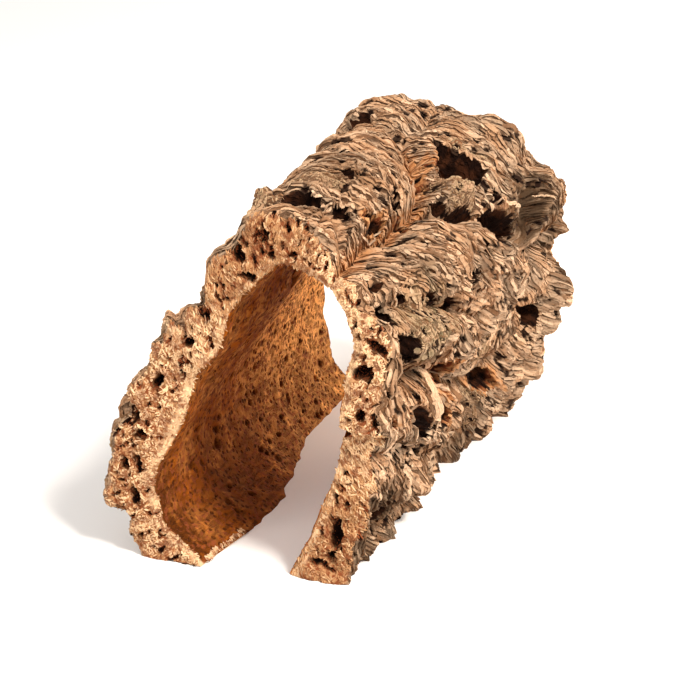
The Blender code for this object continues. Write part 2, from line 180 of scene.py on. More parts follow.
# %% The furrows and lumps
# A furrow: (half width, depth, its line over the bark).
FURROWS = (
    (12, 9, ((0.633, 0.0), (0.638, 0.11), (0.646, 0.25), (0.648, 0.40), (0.630, 0.464), (0.614, 0.516),
             (0.583, 0.617), (0.558, 0.70), (0.532, 0.746), (0.48, 0.77), (0.42, 0.80))),
    (9, 4, ((0.558, 0.70), (0.560, 0.815), (0.564, 0.905), (0.561, 1.0))),
    (8, 5, ((0.634, 0.05), (0.604, 0.09), (0.560, 0.115), (0.510, 0.10), (0.44, 0.13), (0.39, 0.10))),
    (11, 8, ((0.648, 0.40), (0.671, 0.469), (0.684, 0.53), (0.705, 0.60), (0.742, 0.68), (0.785, 0.77),
             (0.80, 0.87), (0.79, 1.0))),
    (9, 6, ((0.676, 0.0), (0.701, 0.067), (0.725, 0.182), (0.756, 0.312), (0.785, 0.43), (0.82, 0.56))),
    (12, 9, ((0.79, 0.10), (0.81, 0.20), (0.825, 0.29), (0.86, 0.42), (0.90, 0.55), (0.915, 0.70),
             (0.90, 0.84))),
    (8, 6, ((0.865, 0.0), (0.875, 0.10), (0.90, 0.20), (0.925, 0.35), (0.935, 0.50))),
    (8, 7, ((0.935, 0.04), (0.955, 0.12), (0.966, 0.22), (0.955, 0.42), (0.965, 0.60))),
    (8, 5, ((0.80, 0.87), (0.845, 0.80), (0.865, 0.88), (0.88, 1.0))),
    (10, 6, ((0.10, 0.0), (0.135, 0.20), (0.12, 0.45), (0.165, 0.70), (0.145, 1.0))),
    (10, 6, ((0.27, 0.04), (0.25, 0.25), (0.30, 0.50), (0.275, 0.75), (0.31, 1.0))),
    (8, 5, ((0.135, 0.20), (0.19, 0.27), (0.25, 0.25))),
    (8, 5, ((0.12, 0.45), (0.20, 0.52), (0.30, 0.50), (0.38, 0.44), (0.47, 0.50), (0.50, 0.76))),
    (8, 5, ((0.275, 0.75), (0.35, 0.83), (0.42, 0.80), (0.44, 1.0))),
    (7, 4, ((0.38, 0.44), (0.37, 0.27), (0.39, 0.10))),
    (7, 4, ((0.165, 0.70), (0.22, 0.80), (0.275, 0.75))),
)
ORANGE_FURROW = FURROWS[0]

# A lump: (around, along, half width around, half width along, height).
LUMPS = (
    (0.748, 0.17, 19, 17, 7), (0.656, 0.545, 11, 10, 6), (0.735, 0.90, 18, 20, 6), (0.85, 0.93, 12, 12, 1),
    (0.905, 0.92, 10, 9, 2), (0.66, 0.93, 18, 16, 4), (0.965, 0.79, 9, 10, 3), (0.975, 0.68, 9, 9, 3),
    (0.93, 0.32, 11, 10, 4), (0.945, 0.12, 8, 8, 4), (0.952, 0.28, 8, 9, 3), (0.62, 0.90, 24, 20, 4),
    (0.50, 0.90, 26, 18, 1), (0.575, 0.33, 26, 36, 3), (0.70, 0.29, 18, 40, 3), (0.365, 0.03, 10, 9, 2),
    (0.455, 0.02, 10, 9, 2), (0.21, 0.12, 22, 18, 4), (0.20, 0.38, 24, 20, 4), (0.33, 0.62, 22, 18, 4),
    (0.07, 0.33, 16, 24, 4), (0.07, 0.86, 16, 20, 4), (0.21, 0.93, 22, 14, 4), (0.36, 0.94, 20, 12, 4),
    (0.43, 0.28, 18, 24, 3), (0.505, 0.085, 9, 10, 7), (0.442, 0.015, 11, 9, 6), (0.385, 0.015, 8, 8, 3),
    (0.32, 0.015, 10, 9, 8), (0.21, 0.02, 9, 9, -1), (0.112, 0.01, 9, 8, 8), (0.05, 0.01, 8, 8, 2),
    (0.488, 0.55, 12, 14, 4), (0.561, 0.97, 10, 14, 4), (0.60, 0.95, 10, 14, -3), (0.693, 0.95, 12, 16, -6),
    (0.758, 0.985, 10, 10, 8), (0.815, 0.94, 9, 16, -8), (0.875, 0.985, 12, 10, 9), (0.935, 0.985, 14, 10, 7),
    (0.97, 0.915, 9, 9, -9), (0.985, 0.27, 8, 9, 5), (0.968, 0.07, 7, 9, -4),
    (0.985, 0.81, 8, 8, 5), (0.84, 0.955, 9, 12, -6), (0.803, 0.893, 8, 9, -6), (0.79, 1.0, 8, 9, 8),
    (0.204, 0.034, 9, 9, -3), (0.922, 1.0, 9, 9, -4), (0.965, 0.113, 8, 8, -4),
)
# Small forms that are too fine for the solid, in the same order of values. The knobs lie low on the right.
KNOB_COUNT = 34
dice = np.random.default_rng(5)
KNOBS = tuple(zip(
    dice.uniform(0.90, 0.995, KNOB_COUNT), dice.uniform(0.22, 1.0, KNOB_COUNT),
    dice.uniform(3.5, 6.5, KNOB_COUNT), dice.uniform(3.5, 6.5, KNOB_COUNT), dice.uniform(2.0, 4.0, KNOB_COUNT),
))
SMALL_FORMS = (
    (0.727, 0.785, 14, 19, -9), (0.652, 0.742, 5, 9, 3), (0.745, 0.10, 9, 10, 2), (0.722, 0.02, 5, 5, -3),
    (0.775, 0.27, 8, 7, 2), (0.668, 0.53, 7, 7, 2), (0.758, 0.985, 10, 10, -3), (0.499, 0.060, 9, 10, 1.5),
    (0.822, 0.995, 8, 9, -7), (0.318, 0.0, 7, 6, -3),
)


def distance_to_line(flat, line):
    """How far each flat place is from a line of (around, along) points, in millimetres over the bark."""
    ends = np.array(line) * (GIRTH, LENGTH)
    nearest = np.full(len(flat), np.inf)
    for a, b in zip(ends[:-1], ends[1:]):
        share = np.clip((flat - a) @ (b - a) / ((b - a) @ (b - a)), 0, 1)
        nearest = np.minimum(nearest, np.linalg.norm(flat - a - share[:, None] * (b - a), axis=1))
    return nearest


DOME_REACH = 30.0
DOME_HEIGHT = 2.5
DEEPEST_FURROW = 9.0


def furrow_relief(flat, wander):
    """(how far the bark stands out, how deep in a furrow it is from 0 to 1)."""
    deepest = np.zeros(len(flat))
    nearest = np.full(len(flat), DOME_REACH)
    for half_width, depth, line in FURROWS:
        away = distance_to_line(flat + wander, line)
        nearest = np.minimum(nearest, away)
        deepest = np.maximum(deepest, depth * np.clip(1 - away / half_width, 0, 1) ** 1.4)
    dome = DOME_HEIGHT * np.sin(nearest / DOME_REACH * math.pi / 2)
    return dome - 2.6 - deepest, deepest / DEEPEST_FURROW


def lump_relief(flat):
    """How far the lumps stand out."""
    height = np.zeros(len(flat))
    for around, along, wide, long, high in LUMPS + KNOBS + SMALL_FORMS:
        apart = (flat - (around * GIRTH, along * LENGTH)) / (wide, long)
        height += high * np.clip(1 - (apart**2).sum(axis=1), 0, None) ** 1.2
    return height


print(len(FURROWS), "furrows and", len(LUMPS), "lumps")

# %% The plates and their ledges
# A plate: (around, along, direction of its lamellae in degrees: 0 around, 90 along).
PLATES = (
    (0.55, 0.03, 40), (0.60, 0.06, 25), (0.53, 0.25, 7), (0.585, 0.22, 14), (0.57, 0.40, 8),
    (0.615, 0.38, -10), (0.50, 0.62, 0), (0.52, 0.85, -25), (0.46, 0.93, -15), (0.60, 0.80, -8),
    (0.66, 0.80, -12), (0.62, 0.93, -5), (0.727, 0.79, 90), (0.75, 0.96, 30), (0.65, 0.14, 34),
    (0.68, 0.27, 40), (0.705, 0.40, 36), (0.745, 0.48, 52), (0.72, 0.26, 56), (0.78, 0.64, 52),
    (0.81, 0.58, 60), (0.86, 0.90, 56), (0.75, 0.15, 17), (0.79, 0.12, 20), (0.82, 0.38, 55),
    (0.84, 0.08, 38), (0.87, 0.20, 44), (0.92, 0.14, 42), (0.93, 0.80, 55), (0.96, 0.40, 60),
    (0.05, 0.20, 20), (0.05, 0.75, -10), (0.19, 0.10, -20), (0.20, 0.38, 10), (0.22, 0.65, 24),
    (0.21, 0.92, -5), (0.33, 0.20, 12), (0.34, 0.62, -12), (0.42, 0.25, -8), (0.42, 0.60, 18),
    (0.36, 0.93, 8),
)
PLATE_SEEDS = np.array([(around * GIRTH, along * LENGTH) for around, along, _ in PLATES])
PLATE_TURNS = np.radians([angle for _, _, angle in PLATES])
# The plate in the dark hollow on the right, which is like the inside of a shell.
SHELL_PLATE = (0.727, 0.79, 90)
# The smaller this number of a plate, the more its lamellae curve, and a minus sign curves them the other way.
PLATE_CURVES = np.full(len(PLATES), 90.0)
PLATE_CURVES[PLATES.index(SHELL_PLATE)] = -28.0
# Plates with longer lamellae than the others.
LONG_PLATES = ((0.745, 0.48, 52), (0.78, 0.64, 52), (0.81, 0.58, 60), (0.82, 0.38, 55), SHELL_PLATE)
PLATE_STRETCH = np.array([1.7 if plate in LONG_PLATES else 1.0 for plate in PLATES])
LEDGE_PITCH = 11.0
LEDGE_DEPTH = 3.4
FINE_PITCH = 3.4
FINE_DEPTH = 1.6
# How far the ledges and the lamellae swing from side to side, and how far the lamellae are crinkled.
LEDGE_WAVE = 5.0
LAMELLA_WAVE = 1.7
CRINKLE = 0.4


def wander_of(flat):
    """The slow sideways drift that keeps furrows and plate edges from being straight."""
    return np.stack([rough_flat(flat, 16.0, 3), rough_flat(flat, 16.0, 4)], axis=1) * 4.0


def nearest_plate(flat, wander):
    """The number of the plate that each place belongs to."""
    gap = ((flat + 1.5 * wander)[:, None, :] - PLATE_SEEDS[None]) ** 2
    return gap.sum(axis=2).argmin(axis=1)


def stretched_place(plate, with_grain, across):
    """Places for noise that is three times as long along the lamellae, and different on each plate."""
    return np.stack([with_grain / 3, across, plate * 11.0], axis=1)


def lamella_bend(plate, with_grain, across, wave):
    """How far the lamellae of a plate curve sideways at that place."""
    stretched = stretched_place(plate, with_grain, across)
    crinkle = CRINKLE * rough(stretched * (1.5, 0.6, 1.0), 2.2, 12) if wave == LAMELLA_WAVE else 0.0
    return wave * rough(stretched, 9.0, 1) + crinkle - with_grain**2 / PLATE_CURVES[plate]


def plate_place(flat, plate, wave):
    """(way along the lamellae, way across them, that way with their curve taken out), in millimetres."""
    turn = PLATE_TURNS[plate]
    local = flat - PLATE_SEEDS[plate]
    with_grain = local[:, 0] * np.cos(turn) + local[:, 1] * np.sin(turn)
    across = -local[:, 0] * np.sin(turn) + local[:, 1] * np.cos(turn)
    return with_grain, across, across + lamella_bend(plate, with_grain, across, wave)


def saw_tooth(way, pitch):
    """Steps with a steep near side and a slow fall behind it, from -0.5 to 0.5."""
    saw = way / pitch - np.floor(way / pitch)
    return np.where(saw < 0.2, saw / 0.2, (1 - saw) / 0.8) - 0.5


def ledge_relief(flat, plate):
    """How far the growth ledges of each plate stand out: large ones, and fine ones on them."""
    with_grain, across, way = plate_place(flat, plate, LEDGE_WAVE)
    stretched = stretched_place(plate, with_grain, across)
    strength = np.clip(0.8 + 0.9 * rough(stretched, 9.0, 2), 0.2, 1.3)
    fine = np.clip(0.7 + 1.1 * rough(stretched, 6.0, 21), 0.0, 1.4)
    large = LEDGE_DEPTH * saw_tooth(way, LEDGE_PITCH) * strength
    return large + FINE_DEPTH * saw_tooth(way, FINE_PITCH) * fine


print(len(PLATES), "plates, large ledges every", LEDGE_PITCH, "mm, fine ledges every", FINE_PITCH, "mm")

# %% The holes
# A hole with corners in the outer face: (depth, share of fresh orange cork, its corners as around, along).
SHARP_HOLES = (
    (18, 0.35, ((0.594, 0.726), (0.626, 0.738), (0.656, 0.716), (0.660, 0.655), (0.651, 0.548), (0.630, 0.545))),
    (8, 0.1, ((0.643, 0.464), (0.652, 0.488), (0.662, 0.500), (0.664, 0.480), (0.654, 0.458))),
    (9, 0.1, ((0.662, 0.485), (0.670, 0.525), (0.678, 0.582), (0.687, 0.570), (0.685, 0.515), (0.672, 0.478))),
    (6, 0.0, ((0.671, 0.672), (0.676, 0.702), (0.693, 0.662), (0.691, 0.640))),
    (12, 0.35, ((0.686, 0.595), (0.693, 0.647), (0.713, 0.676), (0.738, 0.690), (0.733, 0.590), (0.716, 0.530),
               (0.700, 0.540))),
    (8, 0.0, ((0.716, 0.685), (0.719, 0.708), (0.733, 0.716), (0.738, 0.700), (0.727, 0.682))),
    (10, 0.0, ((0.505, 0.085), (0.505, 0.148), (0.525, 0.150), (0.550, 0.142), (0.552, 0.118), (0.538, 0.066),
               (0.520, 0.055))),
    (7, 0.1, ((0.568, 0.142), (0.578, 0.172), (0.594, 0.168), (0.600, 0.132), (0.584, 0.126))),
    (7, 1.0, ((0.607, 0.170), (0.610, 0.205), (0.620, 0.246), (0.630, 0.256), (0.637, 0.232), (0.626, 0.190))),
    (5, 0.9, ((0.638, 0.335), (0.641, 0.376), (0.652, 0.345), (0.657, 0.312), (0.648, 0.306))),
    (6, 0.0, ((0.598, 0.445), (0.603, 0.475), (0.616, 0.548), (0.623, 0.540), (0.612, 0.460))),
    (6, 0.0, ((0.609, 0.325), (0.613, 0.352), (0.619, 0.348), (0.617, 0.310))),
    (6, 0.1, ((0.617, 0.296), (0.625, 0.350), (0.633, 0.346), (0.625, 0.300))),
    (4, 0.0, ((0.538, 0.262), (0.545, 0.274), (0.575, 0.260), (0.573, 0.232))),
    (8, 0.0, ((0.466, 0.815), (0.474, 0.850), (0.500, 0.838), (0.510, 0.790), (0.490, 0.772))),
    (7, 0.0, ((0.716, 0.490), (0.719, 0.518), (0.733, 0.500), (0.732, 0.462))),
    (7, 0.0, ((0.732, 0.396), (0.737, 0.431), (0.744, 0.416), (0.742, 0.394))),
    (7, 0.0, ((0.737, 0.280), (0.746, 0.335), (0.768, 0.377), (0.779, 0.362), (0.762, 0.315))),
    (6, 0.0, ((0.712, 0.172), (0.721, 0.226), (0.733, 0.242), (0.730, 0.205))),
    (5, 0.0, ((0.695, 0.105), (0.701, 0.137), (0.709, 0.133), (0.704, 0.108))),
    (3, 0.0, ((0.672, 0.051), (0.674, 0.062), (0.680, 0.061), (0.680, 0.052))),
    (10, 0.35, ((0.859, 0.828), (0.857, 0.862), (0.872, 0.930), (0.883, 0.938), (0.888, 0.910), (0.876, 0.842))),
    (9, 0.1, ((0.692, 0.022), (0.695, 0.078), (0.708, 0.092), (0.720, 0.080), (0.712, 0.022))),
    (8, 0.0, ((0.726, 0.043), (0.734, 0.092), (0.756, 0.100), (0.785, 0.102), (0.809, 0.098), (0.804, 0.068),
              (0.755, 0.028))),
    (14, 0.95, ((0.826, 0.302), (0.826, 0.365), (0.843, 0.422), (0.862, 0.428), (0.868, 0.368), (0.848, 0.295))),
    (12, 0.9, ((0.852, 0.266), (0.860, 0.305), (0.880, 0.370), (0.893, 0.385), (0.884, 0.325), (0.864, 0.262))),
    (12, 0.4, ((0.826, 0.115), (0.830, 0.162), (0.857, 0.215), (0.889, 0.268), (0.886, 0.210), (0.852, 0.134))),
    (8, 1.0, ((0.912, 0.720), (0.914, 0.762), (0.922, 0.812), (0.939, 0.834), (0.938, 0.770), (0.927, 0.725))),
    (7, 0.9, ((0.776, 0.852), (0.786, 0.876), (0.812, 0.870), (0.810, 0.850))),
    (4, 0.9, ((0.824, 0.030), (0.828, 0.060), (0.840, 0.082), (0.843, 0.066), (0.834, 0.030))),
    (6, 0.0, ((0.908, 0.185), (0.916, 0.252), (0.927, 0.260), (0.918, 0.192))),
    (7, 0.0, ((0.873, 0.150), (0.880, 0.196), (0.900, 0.243), (0.906, 0.225), (0.888, 0.158))),
)
# A round hole: (depth, share of fresh cork, around, along, its two half widths, turn in degrees).
ROUND_HOLES = (
    (11, 0.0, 0.946, 0.115, 7.5, 12, 10), (7, 0.0, 0.893, 0.066, 4, 4, 0), (9, 0.3, 0.22, 0.235, 7, 6, 30),
    (9, 0.5, 0.335, 0.70, 6, 9, 0), (8, 0.2, 0.115, 0.62, 6, 8, 0), (8, 0.2, 0.427, 0.355, 5.5, 7, 20),
    (8, 0.4, 0.27, 0.90, 8, 5, 0), (7, 0.0, 0.05, 0.50, 6, 6, 0), (7, 0.0, 0.39, 0.60, 8, 4, 10),
)
ROUND_CORNERS = 10
# A hole deeper than this many millimetres has a smoother rim and painted shade over all of its depth.
DEEP_HOLE = 9
# How far a hole widens below its rim, as a share of its half width.
UNDERCUT = 0.40
# How far the bark swells around a hole, as a share of its depth, up to a depth of 12 mm.
RIM_SHARE = 0.06
RIM_DEPTH = 12
# A hole with this much fresh cork or more is orange all over its inside, and others only on the wall towards
# the left foot. That one-sided orange is fresh cork shown as if lit, partly painted light.
FRESH_INSIDE = 0.9


def round_corners(around, along, wide, long, turn):
    """The corners of a round hole in millimetres over the bark."""
    angles = np.arange(ROUND_CORNERS) * 2 * math.pi / ROUND_CORNERS
    oval = np.column_stack([np.cos(angles) * wide, np.sin(angles) * long])
    c, s = math.cos(math.radians(turn)), math.sin(math.radians(turn))
    return oval @ np.array(((c, s), (-s, c))) + (around * GIRTH, along * LENGTH)


def reach_of(flat, corners):
    """How far each flat place is out from the middle of a hole: 0 in the middle, 1 on its rim."""
    middle = corners.mean(axis=0)
    reach = np.zeros(len(flat))
    for a, b in zip(corners, np.roll(corners, -1, axis=0)):
        square = np.array((b[1] - a[1], a[0] - b[0]))
        rim = square @ (a - middle)
        reach = np.maximum(reach, (flat - middle) @ square / rim)
    return reach


HOLES = [(deep, fresh, np.array(corners) * (GIRTH, LENGTH)) for deep, fresh, corners in SHARP_HOLES]
HOLES += [(deep, fresh, round_corners(*shape)) for deep, fresh, *shape in ROUND_HOLES]


def hole_relief(flat):
    """(depth of the holes, their sideways swelling, depth from 0 to 1 that the finish paints as shade,
    fresh cork from 0 to 1).
    """
    depth, inside, fresh = np.zeros(len(flat)), np.zeros(len(flat)), np.zeros(len(flat))
    swelling = np.zeros_like(flat)
    for number, (deep, orange, corners) in enumerate(HOLES):
        middle = corners.mean(axis=0)
        size = np.abs(corners - middle).max()
        apart = flat - middle
        near = np.nonzero(np.abs(apart).max(axis=1) < 1.7 * size)[0]
        ragged = rough(np.column_stack([apart[near], np.full(len(near), number * 9.0)]), 3.0, 31)
        reach = reach_of(flat[near], corners) * (1 + (0.13 if deep > DEEP_HOLE else 0.28) * ragged)
        cut = np.clip(1 - reach**4, 0, 1)
        rim = RIM_SHARE * min(deep, RIM_DEPTH) * np.clip(1 - np.abs(reach - 1.10) / 0.22, 0, 1)
        depth[near] = np.maximum(depth[near], deep * cut) - rim
        # Painted shade: deep holes are dark all over, shallow ones only in their middle.
        dark = cut if deep > DEEP_HOLE else np.clip(cut * 1.4 - 0.4, 0, 1)
        inside[near] = np.maximum(inside[near], dark)
        # Fresh orange: all over in fresh holes, and otherwise on the wall towards the left foot, partly painted
        # light.
        if orange >= FRESH_INSIDE:
            bright = np.clip((1.35 - reach) / 0.3, 0, 1)
        else:
            bright = np.clip(0.45 - 1.6 * apart[near, 0] / size, 0, 1)
            bright *= np.clip((reach - 0.6) / 0.4, 0, 1) * np.clip(2.0 - reach, 0, 1)
        fresh[near] = np.maximum(fresh[near], orange * bright)
        narrow = np.linalg.norm(corners - middle, axis=1).min()
        bulge = UNDERCUT * narrow * np.sin(math.pi * np.clip(reach, 0, 1))
        swelling[near] += unit(apart[near]) * bulge[:, None]
    return depth, swelling, inside, fresh


print(len(HOLES), "holes in the outer face")

# %% The pores
PORE_COUNT = 1500
dice = np.random.default_rng(53)
pore_place = flat_map(dice.uniform(0.01, 0.99, PORE_COUNT), dice.uniform(0.02, 0.98, PORE_COUNT))
pore_plate = nearest_plate(pore_place, wander_of(pore_place))
pore_turn = PLATE_TURNS[pore_plate] + dice.normal(0, 0.25, PORE_COUNT)
pore_size = np.column_stack([dice.lognormal(0.75, 0.35, PORE_COUNT), dice.uniform(0.85, 1.5, PORE_COUNT)])
pore_depth = dice.uniform(1.0, 2.6, PORE_COUNT)


def pore_relief(flat):
    """(depth of the small pores between the lamellae, depth from 0 to 1)."""
    relief = np.zeros(len(flat)), np.zeros(len(flat))
    for place, turn, size, deep in zip(pore_place, pore_turn, pore_size, pore_depth):
        near = np.nonzero(np.abs(flat - place).max(axis=1) < 1.5 * size[0])[0]
        apart = flat[near] - place
        c, s = math.cos(turn), math.sin(turn)
        pressed(near, apart @ np.array(((c, -s), (s, c))) / size, deep, relief)
    return relief


print(PORE_COUNT, "small pores")

# %% The pits of the front end
# Direction, spread of direction (both in degrees) and length in millimetres of the torn strokes of the front
# end, each at these stops from the left foot to the right.
FRONT_STOPS = (0.0, 0.25, 0.33, 0.45, 0.55, 0.75, 0.832, 0.845, 0.905, 0.935, 1.0)
FRONT_TURNS = (60, 30, -12, -15, 10, 20, 30, -38, -38, -25, -30)
FRONT_SPREADS = (70, 60, 26, 24, 34, 50, 45, 22, 22, 40, 45)
FRONT_LENGTHS = (1.9, 1.9, 2.7, 2.9, 2.3, 2.0, 2.0, 3.1, 3.1, 2.3, 2.3)


def front_turn(a):
    """Strokes stand nearly upright on the upper left, and lean elsewhere."""
    return np.interp(a, FRONT_STOPS, FRONT_TURNS)


# A pit in the front end: (x, z, half width, half height, depth, turn in degrees).
FRONT_PITS = (
    (34.5, 130.0, 3.2, 4.6, 8, 20), (38.0, 122.5, 3.6, 1.9, 7, 0), (47.5, 131.5, 2.4, 1.8, 5, 0),
    (56.0, 132.5, 2.2, 1.7, 5, 0), (45.5, 140.0, 2.4, 1.8, 6, 0), (21.0, 105.5, 2.0, 3.4, 6, 0),
    (13.5, 93.5, 2.8, 2.0, 7, 20), (-1.0, 75.0, 2.4, 4.6, 8, -30), (-10.5, 60.0, 2.0, 3.2, 6, 0),
    (-9.0, 52.5, 3.6, 3.0, 8, 10), (-16.5, 39.0, 2.2, 3.2, 6, 0), (-11.0, 41.0, 1.8, 3.6, 6, 20),
    (-12.0, 27.0, 2.2, 5.0, 7, 20), (90.5, 101.2, 4.4, 2.8, 8, -35), (87.4, 108.5, 1.5, 1.2, 4, 0),
    (85.0, 91.0, 4.6, 4.4, 9, 0), (84.0, 75.0, 2.2, 3.4, 6, 0), (88.5, 71.5, 1.7, 4.4, 6, 0),
    (75.0, 62.0, 2.6, 1.8, 6, 0), (71.5, 20.5, 3.2, 7.5, 8, -12), (69.0, 11.0, 3.0, 2.6, 6, 0),
    (63.0, 8.0, 2.2, 2.0, 5, 0),
)
SMALL_PIT_COUNT = 210
dice = np.random.default_rng(19)
small_around = dice.uniform(0.01, 0.99, SMALL_PIT_COUNT)
small_middle, small_wall = wall(small_around, np.zeros(SMALL_PIT_COUNT))
small_place = small_middle + outward(small_around, np.zeros(SMALL_PIT_COUNT)) * (
    dice.uniform(-0.35, 0.5, SMALL_PIT_COUNT) * small_wall)[:, None]
SMALL_FRONT_PITS = tuple(zip(
    small_place[:, 0], small_place[:, 2], dice.uniform(0.55, 1.1, SMALL_PIT_COUNT),
    dice.uniform(1.0, 2.8, SMALL_PIT_COUNT), dice.uniform(1.2, 3.4, SMALL_PIT_COUNT),
    -front_turn(small_around) + dice.normal(0, 20, SMALL_PIT_COUNT),
))


def front_pit_relief(place):
    """(depth of the pits in the front end in millimetres, depth from 0 to 1)."""
    depth, inside = np.zeros(len(place)), np.zeros(len(place))
    for number, (x, z, wide, high, deep, turn) in enumerate(FRONT_PITS + SMALL_FRONT_PITS):
        apart = place[:, (0, 2)] - (x, z)
        turned = math.cos(math.radians(turn)), math.sin(math.radians(turn))
        local = apart @ np.array(((turned[0], -turned[1]), (turned[1], turned[0]))) / (wide, high)
        ragged = rough(np.column_stack([apart, np.full(len(place), number * 5.0)]), 2.2, 41)
        reach = np.linalg.norm(local, axis=1) * (1 + 0.55 * ragged)
        cut = np.clip(1 - reach**2.5, 0, 1)
        depth = np.maximum(depth, deep * cut)
        inside = np.maximum(inside, cut)
    return depth, inside


print(len(FRONT_PITS), "large and", SMALL_PIT_COUNT, "small pits in the front end")

# %% [markdown]
# ## The body
#
# A slab of small cells is the simplest start: a grid, extruded once for the thickness of the bark and
# subdivided through it. Its corners run from 0 to 1 in all three directions, so a corner is also its own
# address: around, along and through the bark. Bending the slab is then one formula on the addresses. A
# voxel mesh or sculpting could give the same form, but it would lose the addresses, which the finishes and
# the lamellae need later.

# %% The slab of cells
CELLS_AROUND = 400
CELLS_ALONG = 212
CELLS_THROUGH = 18


def cut_upright(bm, lengths):
    """Cut the upright edges of a slab or bar into that many lengths."""
    upright = [e for e in bm.edges if abs(e.verts[0].co.z - e.verts[1].co.z) > 0.5]
    bmesh.ops.subdivide_edges(bm, edges=upright, cuts=lengths - 1, use_grid_fill=True)


def slab():
    """A unit block cut into cells: x goes around the branch, y along it and z through the bark."""
    bm = bmesh.new()
    bmesh.ops.create_grid(bm, x_segments=CELLS_AROUND, y_segments=CELLS_ALONG, size=0.5)
    bmesh.ops.translate(bm, verts=bm.verts, vec=(0.5, 0.5, 0.0))
    lid = bmesh.ops.extrude_face_region(bm, geom=bm.faces[:])
    top = [v for v in lid["geom"] if isinstance(v, bmesh.types.BMVert)]
    bmesh.ops.translate(bm, verts=top, vec=(0, 0, 1))
    cut_upright(bm, CELLS_THROUGH)
    return bm


def coordinates(mesh):
    """The vertices of a mesh as rows of x, y, z."""
    flat = np.empty(len(mesh.vertices) * 3, np.float32)
    mesh.vertices.foreach_get("co", flat)
    return flat.reshape(-1, 3).astype(float)


def set_coordinates(mesh, places):
    """Move the vertices of a mesh to those places."""
    mesh.vertices.foreach_set("co", places.astype(np.float32).ravel())
    mesh.update()


def add_object(name, bm):
    """A new object with that mesh."""
    mesh = bpy.data.meshes.new(name)
    bm.to_mesh(mesh)
    bm.free()
    obj = bpy.data.objects.new(name, mesh)
    bpy.context.scene.collection.objects.link(obj)
    return obj


def set_values(mesh, name, values):
    """A number at each vertex, under that name, for the finishes to read."""
    layer = mesh.attributes.get(name) or mesh.attributes.new(name, "FLOAT", "POINT")
    layer.data.foreach_set("value", np.asarray(values, np.float32))


def values_of(mesh, name):
    """The number at each vertex that was kept under that name."""
    values = np.empty(len(mesh.vertices), np.float32)
    mesh.attributes[name].data.foreach_get("value", values)
    return values.astype(float)


body = add_object("cork_body", slab())
address = coordinates(body.data)
print("the slab has", len(address), "corners and", len(body.data.polygons), "faces")

# %% Bending the slab
PIT_COUNT = 330
dice = np.random.default_rng(7)
inner_pits = np.column_stack([
    dice.uniform(0.02, 0.98, PIT_COUNT) * GIRTH, dice.uniform(0.01, 0.99, PIT_COUNT) * LENGTH,
    dice.uniform(1.0, 2.6, PIT_COUNT), dice.uniform(0.8, 2.2, PIT_COUNT),
])


def inner_pit_relief(flat):
    """(depth of the small pits of the inner face, depth from 0 to 1)."""
    relief = np.zeros(len(flat)), np.zeros(len(flat))
    for around, along, radius, deep in inner_pits:
        near = np.nonzero(np.abs(flat - (around, along)).max(axis=1) < radius * 1.4)[0]
        pressed(near, (flat[near] - (around, along)) / (radius * 1.3, radius), deep, relief)
    return relief


# The step in the front end: millimetres that it stands out, at these stops from the left foot to the right.
STEP_STOPS = (0.699, 0.701, 0.836, 0.841, 0.850, 0.866, 0.872)
STEP_DEPTHS = (0.0, 2.2, 3.4, -5.2, -5.0, -3.4, -4.0)
# How far the relief of a torn end reaches into the branch, and where its finest chips begin.
END_REACH = 14.0
CHIPS_FROM = 0.8


def end_relief(around, along, through, place):
    """How far the torn ends stand out along the branch, in millimetres."""
    near_front = np.clip(1 - along * LENGTH / END_REACH, 0, 1)
    near_back = np.clip(1 - (1 - along) * LENGTH / END_REACH, 0, 1)
    coarse, fine = rough(place, 14.0, 7), rough(place, 5.0, 8)
    front_chips = 0.9 * rough(place, 2.2, 51) * (near_front > CHIPS_FROM)
    back_chips = 0.8 * rough(place, 2.2, 52) * (near_back > CHIPS_FROM)
    overhang = np.interp(around, STEP_STOPS, STEP_DEPTHS)
    lip = 1.5 * (np.abs(through - 0.5) * 2) ** 4
    front = 1.8 * coarse + 1.0 * fine + front_chips + overhang - lip
    back = 5.0 * coarse + 1.6 * fine + back_chips - lip
    return back * near_back - front * near_front


def outer_forms(flat):
    """What the outer face does at each flat place: how far it stands out, how far aside, and the notes."""
    wander = wander_of(flat)
    furrow, furrow_note = furrow_relief(flat, wander)
    raised = furrow + ledge_relief(flat, nearest_plate(flat, wander)) + lump_relief(flat + wander)
    raised += 1.8 * rough_flat(flat, 30.0, 5) + 1.6 * rough_flat(flat, 8.0, 6) + 0.5 * rough_flat(flat, 3.0, 22)
    depth, aside, hole_note, fresh_note = hole_relief(flat)
    pore_depth, pore_note = pore_relief(flat)
    return raised - depth - pore_depth, aside, furrow_note, hole_note, fresh_note, pore_note


